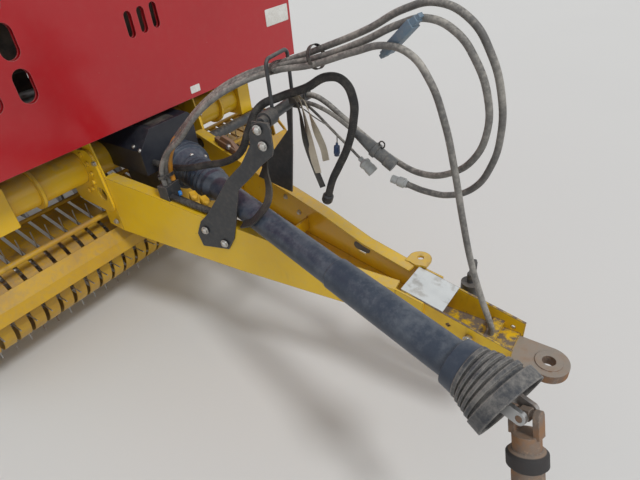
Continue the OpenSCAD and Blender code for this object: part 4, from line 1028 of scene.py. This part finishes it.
# bands that tie the three hoses together
bands = {
    "hoseBandRear": {"place": (-7, 925, 1212), "along": (0.1, -1, 0.2), "wide": 0.078, "tall": 0.032},
    "hoseBandMiddle": {"place": (8, 784, 1250), "along": (0, -1, 0.3), "wide": 0.07, "tall": 0.066},
    "hoseBandBlock": {"place": (-178, 1402, 812), "along": (0, 0.02, 1), "wide": 0.076, "tall": 0.032}}
bandForm = {"deep": 0.014, "wall": 0.0025, "soft": 0.0006}


def makeBand(name, b):
    band = newRound(0.5, bandForm["deep"], 28, end_fill_type="NOTHING")
    band.scale = (b["wide"], b["tall"], 1)
    fixPlace()
    modify(band, "SOLIDIFY", thickness=bandForm["wall"], offset=1)
    softened(band, bandForm["soft"], 1)
    settle(band, name, "root", plugBlack, facing(tonguePoint(b["place"]), b["along"]))


for name, b in bands.items():
    makeBand(name, b)


# straps: torn webbing hanging from the head tube, and a dark loop behind the holder
strapWave = 0.9   # how fast the tilt swings from point to point
straps = {
    "beigeStrapLong": {
        "wide": 0.026, "thick": 0.0016, "finish": strapCloth, "tilt": 0.5,
        "route": [(12, 893, 1110), (6, 866, 1114), (2, 850, 1088), (4, 843, 1040), (4, 836, 985),
                  (2, 824, 920), (0, 812, 872)]},
    "beigeStrapShort": {
        "wide": 0.022, "thick": 0.0016, "finish": strapCloth, "tilt": 1.0,
        "route": [(28, 896, 1110), (26, 868, 1112), (26, 850, 1084), (28, 838, 1045), (30, 824, 1000),
                  (32, 806, 950), (34, 800, 905)]},
    "darkStrap": {
        "wide": 0.02, "thick": 0.0016, "finish": beltRubber, "tilt": 0.6,
        "route": [(-8, 893, 1110), (-10, 868, 1113), (-8, 855, 1082), (-4, 853, 1030), (0, 850, 975),
                  (1, 826, 895), (0, 797, 822)]},
    "darkLoop": {
        "wide": 0.03, "thick": 0.006, "finish": beltRubber, "tilt": 0.2,
        "route": [(-112, 905, 1058), (-110, 930, 985), (-106, 952, 900), (-112, 943, 852), (-124, 935, 824),
                  (-149, 929, 798), (-177, 938, 774), (-199, 957, 751), (-197, 993, 728), (-184, 1030, 706)]}}


def makeStrap(name, s):
    line, run = smoothLine(name, s["route"])
    line.data.extrude = s["wide"] / 2
    line.data.resolution_u = 8
    for i, b in enumerate(line.data.splines[0].bezier_points):
        b.tilt = s["tilt"] * math.sin(i * strapWave)
    strap = toMesh(line)
    modify(strap, "SOLIDIFY", thickness=s["thick"])
    settle(strap, name, "root", s["finish"])
    print("strap", name, round(run, 3), "m")


for name, s in straps.items():
    makeStrap(name, s)


# a second clear plug and a small blue one, each turned in steps of radius and length
plugForm = {"rim": 0.18, "lip": 0.06, "hole": 0.006, "soft": 0.0008}
plugs = {
    "clearPlug": {
        "sides": 32, "finish": plugClear, "place": (50, 672, 930), "along": (0, -0.75, -0.6),
        "steps": [(0.0085, 0.012), (0.015, 0.004), (0.019, 0.003), (0.019, 0.01), (0.017, 0.002),
                  (0.017, 0.01), (0.0185, 0.002), (0.0185, 0.02)]},
    "bluePlug": {
        "sides": 20, "finish": plugBlue, "place": (35, 752, 974), "along": (0, 0.08, -1),
        "steps": [(0.004, 0.008), (0.0095, 0.003), (0.0105, 0.026), (0.0085, 0.003), (0.0085, 0.006)]}}


def makePlug(name, p):
    radius, long = p["steps"][0]
    plug = newRound(radius, long, p["sides"])
    edit(plug)
    pickTop()
    for r, long in p["steps"][1:]:
        pull(0, 0, long)
        scaled(r / radius, r / radius)
        radius = r
    inset(radius * plugForm["rim"])
    inset(radius * plugForm["lip"], -plugForm["hole"])
    leave()
    softened(plug, plugForm["soft"])
    return settle(plug, name, "root", p["finish"],
                  facing(tonguePoint(p["place"]), p["along"]))


plugPieces = {name: makePlug(name, p) for name, p in plugs.items()}


# the short leads that those two plugs hang on
leads = {
    "clearLead": {
        "thick": 0.009, "end": "plug", "stiff": "medium", "plug": "clearPlug",
        "route": [(62, 905, 1076), (62, 880, 1072), (61, 845, 1052), (58, 800, 1020), (55, 755, 988),
                  (52, 715, 962), (50, 690, 944), (50, 672, 930)]},
    "blueLead": {
        "thick": 0.004, "end": "plug", "stiff": "limp", "plug": "bluePlug",
        "route": [(46, 905, 1072), (44, 880, 1066), (42, 845, 1050), (40, 805, 1035), (38, 770, 1022),
                  (36, 752, 1008), (35, 750, 990), (35, 752, 974)]}}
for name, c in leads.items():
    makeCord(name, c).data.materials.append(hoseRubber)


# small ring on the cone plug
coneRing = {"place": (45, 592, 1000), "normal": (1, 0, 0), "radius": 0.009, "thick": 0.0022,
            "below": 0.6, "drawn": 1.5}   # its lower end is drawn down a little


def makeRing(name, r, finish):
    clear()
    bpy.ops.mesh.primitive_torus_add(major_segments=28, minor_segments=10, major_radius=r["radius"],
                                     minor_radius=r["thick"], location=(0, 0, 0))
    ring = bpy.context.object
    edit(ring)
    pick(lambda c, n: c.y < -r["radius"] * r["below"])
    bpy.ops.transform.translate(value=(0, -r["thick"] * r["drawn"], 0))
    leave()
    settle(ring, name, "root", finish, facing(tonguePoint(r["place"]), r["normal"]))


makeRing("coneRing", coneRing, plugBlack)


# a rusty casting with a bright pin on the left rail
casting = {"place": (212, 1470, 731.5), "size": (0.034, 0.13, 0.032), "lean": 0.17, "edge": 0.006,
           "top": (0, 0.012, 0.022), "topShare": (0.8, 0.55), "nose": (0, 0.03, 0), "noseEdge": 0.005,
           "soft": 0.006}


def makeCasting(name, c):
    tall = c["size"][2]
    body = newBlock(c["size"], (0, 0, tall / 2))
    edit(body)
    pickTop()
    inset(c["edge"])
    pull(*c["top"])
    scaled(*c["topShare"])
    pick(lambda m, n: n.y > squareOn and m.z < tall)
    inset(c["noseEdge"])
    pull(*c["nose"])
    leave()
    softened(body, c["soft"], 3)
    turn = Matrix.Rotation(-railTurn, 4, "Z") @ Matrix.Rotation(c["lean"], 4, "X")
    settle(body, name, "root", wornIron,
           Matrix.Translation(tonguePoint(c["place"])) @ turn)


makeCasting("railCasting", casting)
boltSet("castingPin", "root", domedBolt, [(tonguePoint((193, 1452, 757)), (-1, -0.2, 0.5), 0.9)])

for spare in (domedBolt, hexBolt):
    bpy.data.objects.remove(spare)
print("small pieces placed")


# studio: pale floor, soft light, pale background for what is seen and mirrored
studio = {"floor": (0.72, 0.72, 0.71), "floorSize": 80, "floorWorn": 0.97, "floorPatch": 0.7,
          "sky": (0.93, 0.94, 0.95), "fill": 0.55, "key": 1.35, "keyHigh": 6,
          "keyTurn": (0.62, -0.38, 0.35), "keySoft": 0.2}


def makeFloor(s):
    clear()
    bpy.ops.mesh.primitive_plane_add(size=s["floorSize"], location=(0, 0, 0))
    floor = bpy.context.object
    floor.name = "floor"
    f = Finish("floorPale", 0.9)
    worn = tuple(c * s["floorWorn"] for c in s["floor"])
    f.set("Base Color", f.mix(s["floor"], worn, f.noise(s["floorPatch"], 2)))
    floor.data.materials.append(f.material)


def makeLight(s):
    bpy.ops.object.light_add(type="SUN", location=(0, 0, s["keyHigh"]), rotation=s["keyTurn"])
    sun = bpy.context.object
    sun.data.energy = s["key"]
    sun.data.angle = s["keySoft"]
    world = bpy.data.worlds.new("studio")
    scene.world = world
    world.use_nodes = True
    tree = world.node_tree
    add, link = tree.nodes.new, tree.links.new
    seen = tree.nodes["Background"]
    seen.inputs["Color"].default_value = (*s["sky"], 1)
    seen.inputs["Strength"].default_value = 1.0
    fill = add("ShaderNodeBackground")
    fill.inputs["Color"].default_value = (1, 1, 1, 1)
    fill.inputs["Strength"].default_value = s["fill"]
    # camera, glossy and transmission rays meet the pale sky, all others the plain fill
    path = add("ShaderNodeLightPath")
    share = path.outputs["Is Camera Ray"]
    for ray in ("Is Glossy Ray", "Is Transmission Ray"):
        total = add("ShaderNodeMath")
        total.operation = "ADD"
        total.use_clamp = True
        link(share, total.inputs[0])
        link(path.outputs[ray], total.inputs[1])
        share = total.outputs[0]
    mix = add("ShaderNodeMixShader")
    for i, output in enumerate((share, fill.outputs[0], seen.outputs[0])):
        link(output, mix.inputs[i])
    link(mix.outputs[0], tree.nodes["World Output"].inputs["Surface"])


makeFloor(studio)
makeLight(studio)
scene.view_settings.view_transform = "Standard"
print("studio lit")
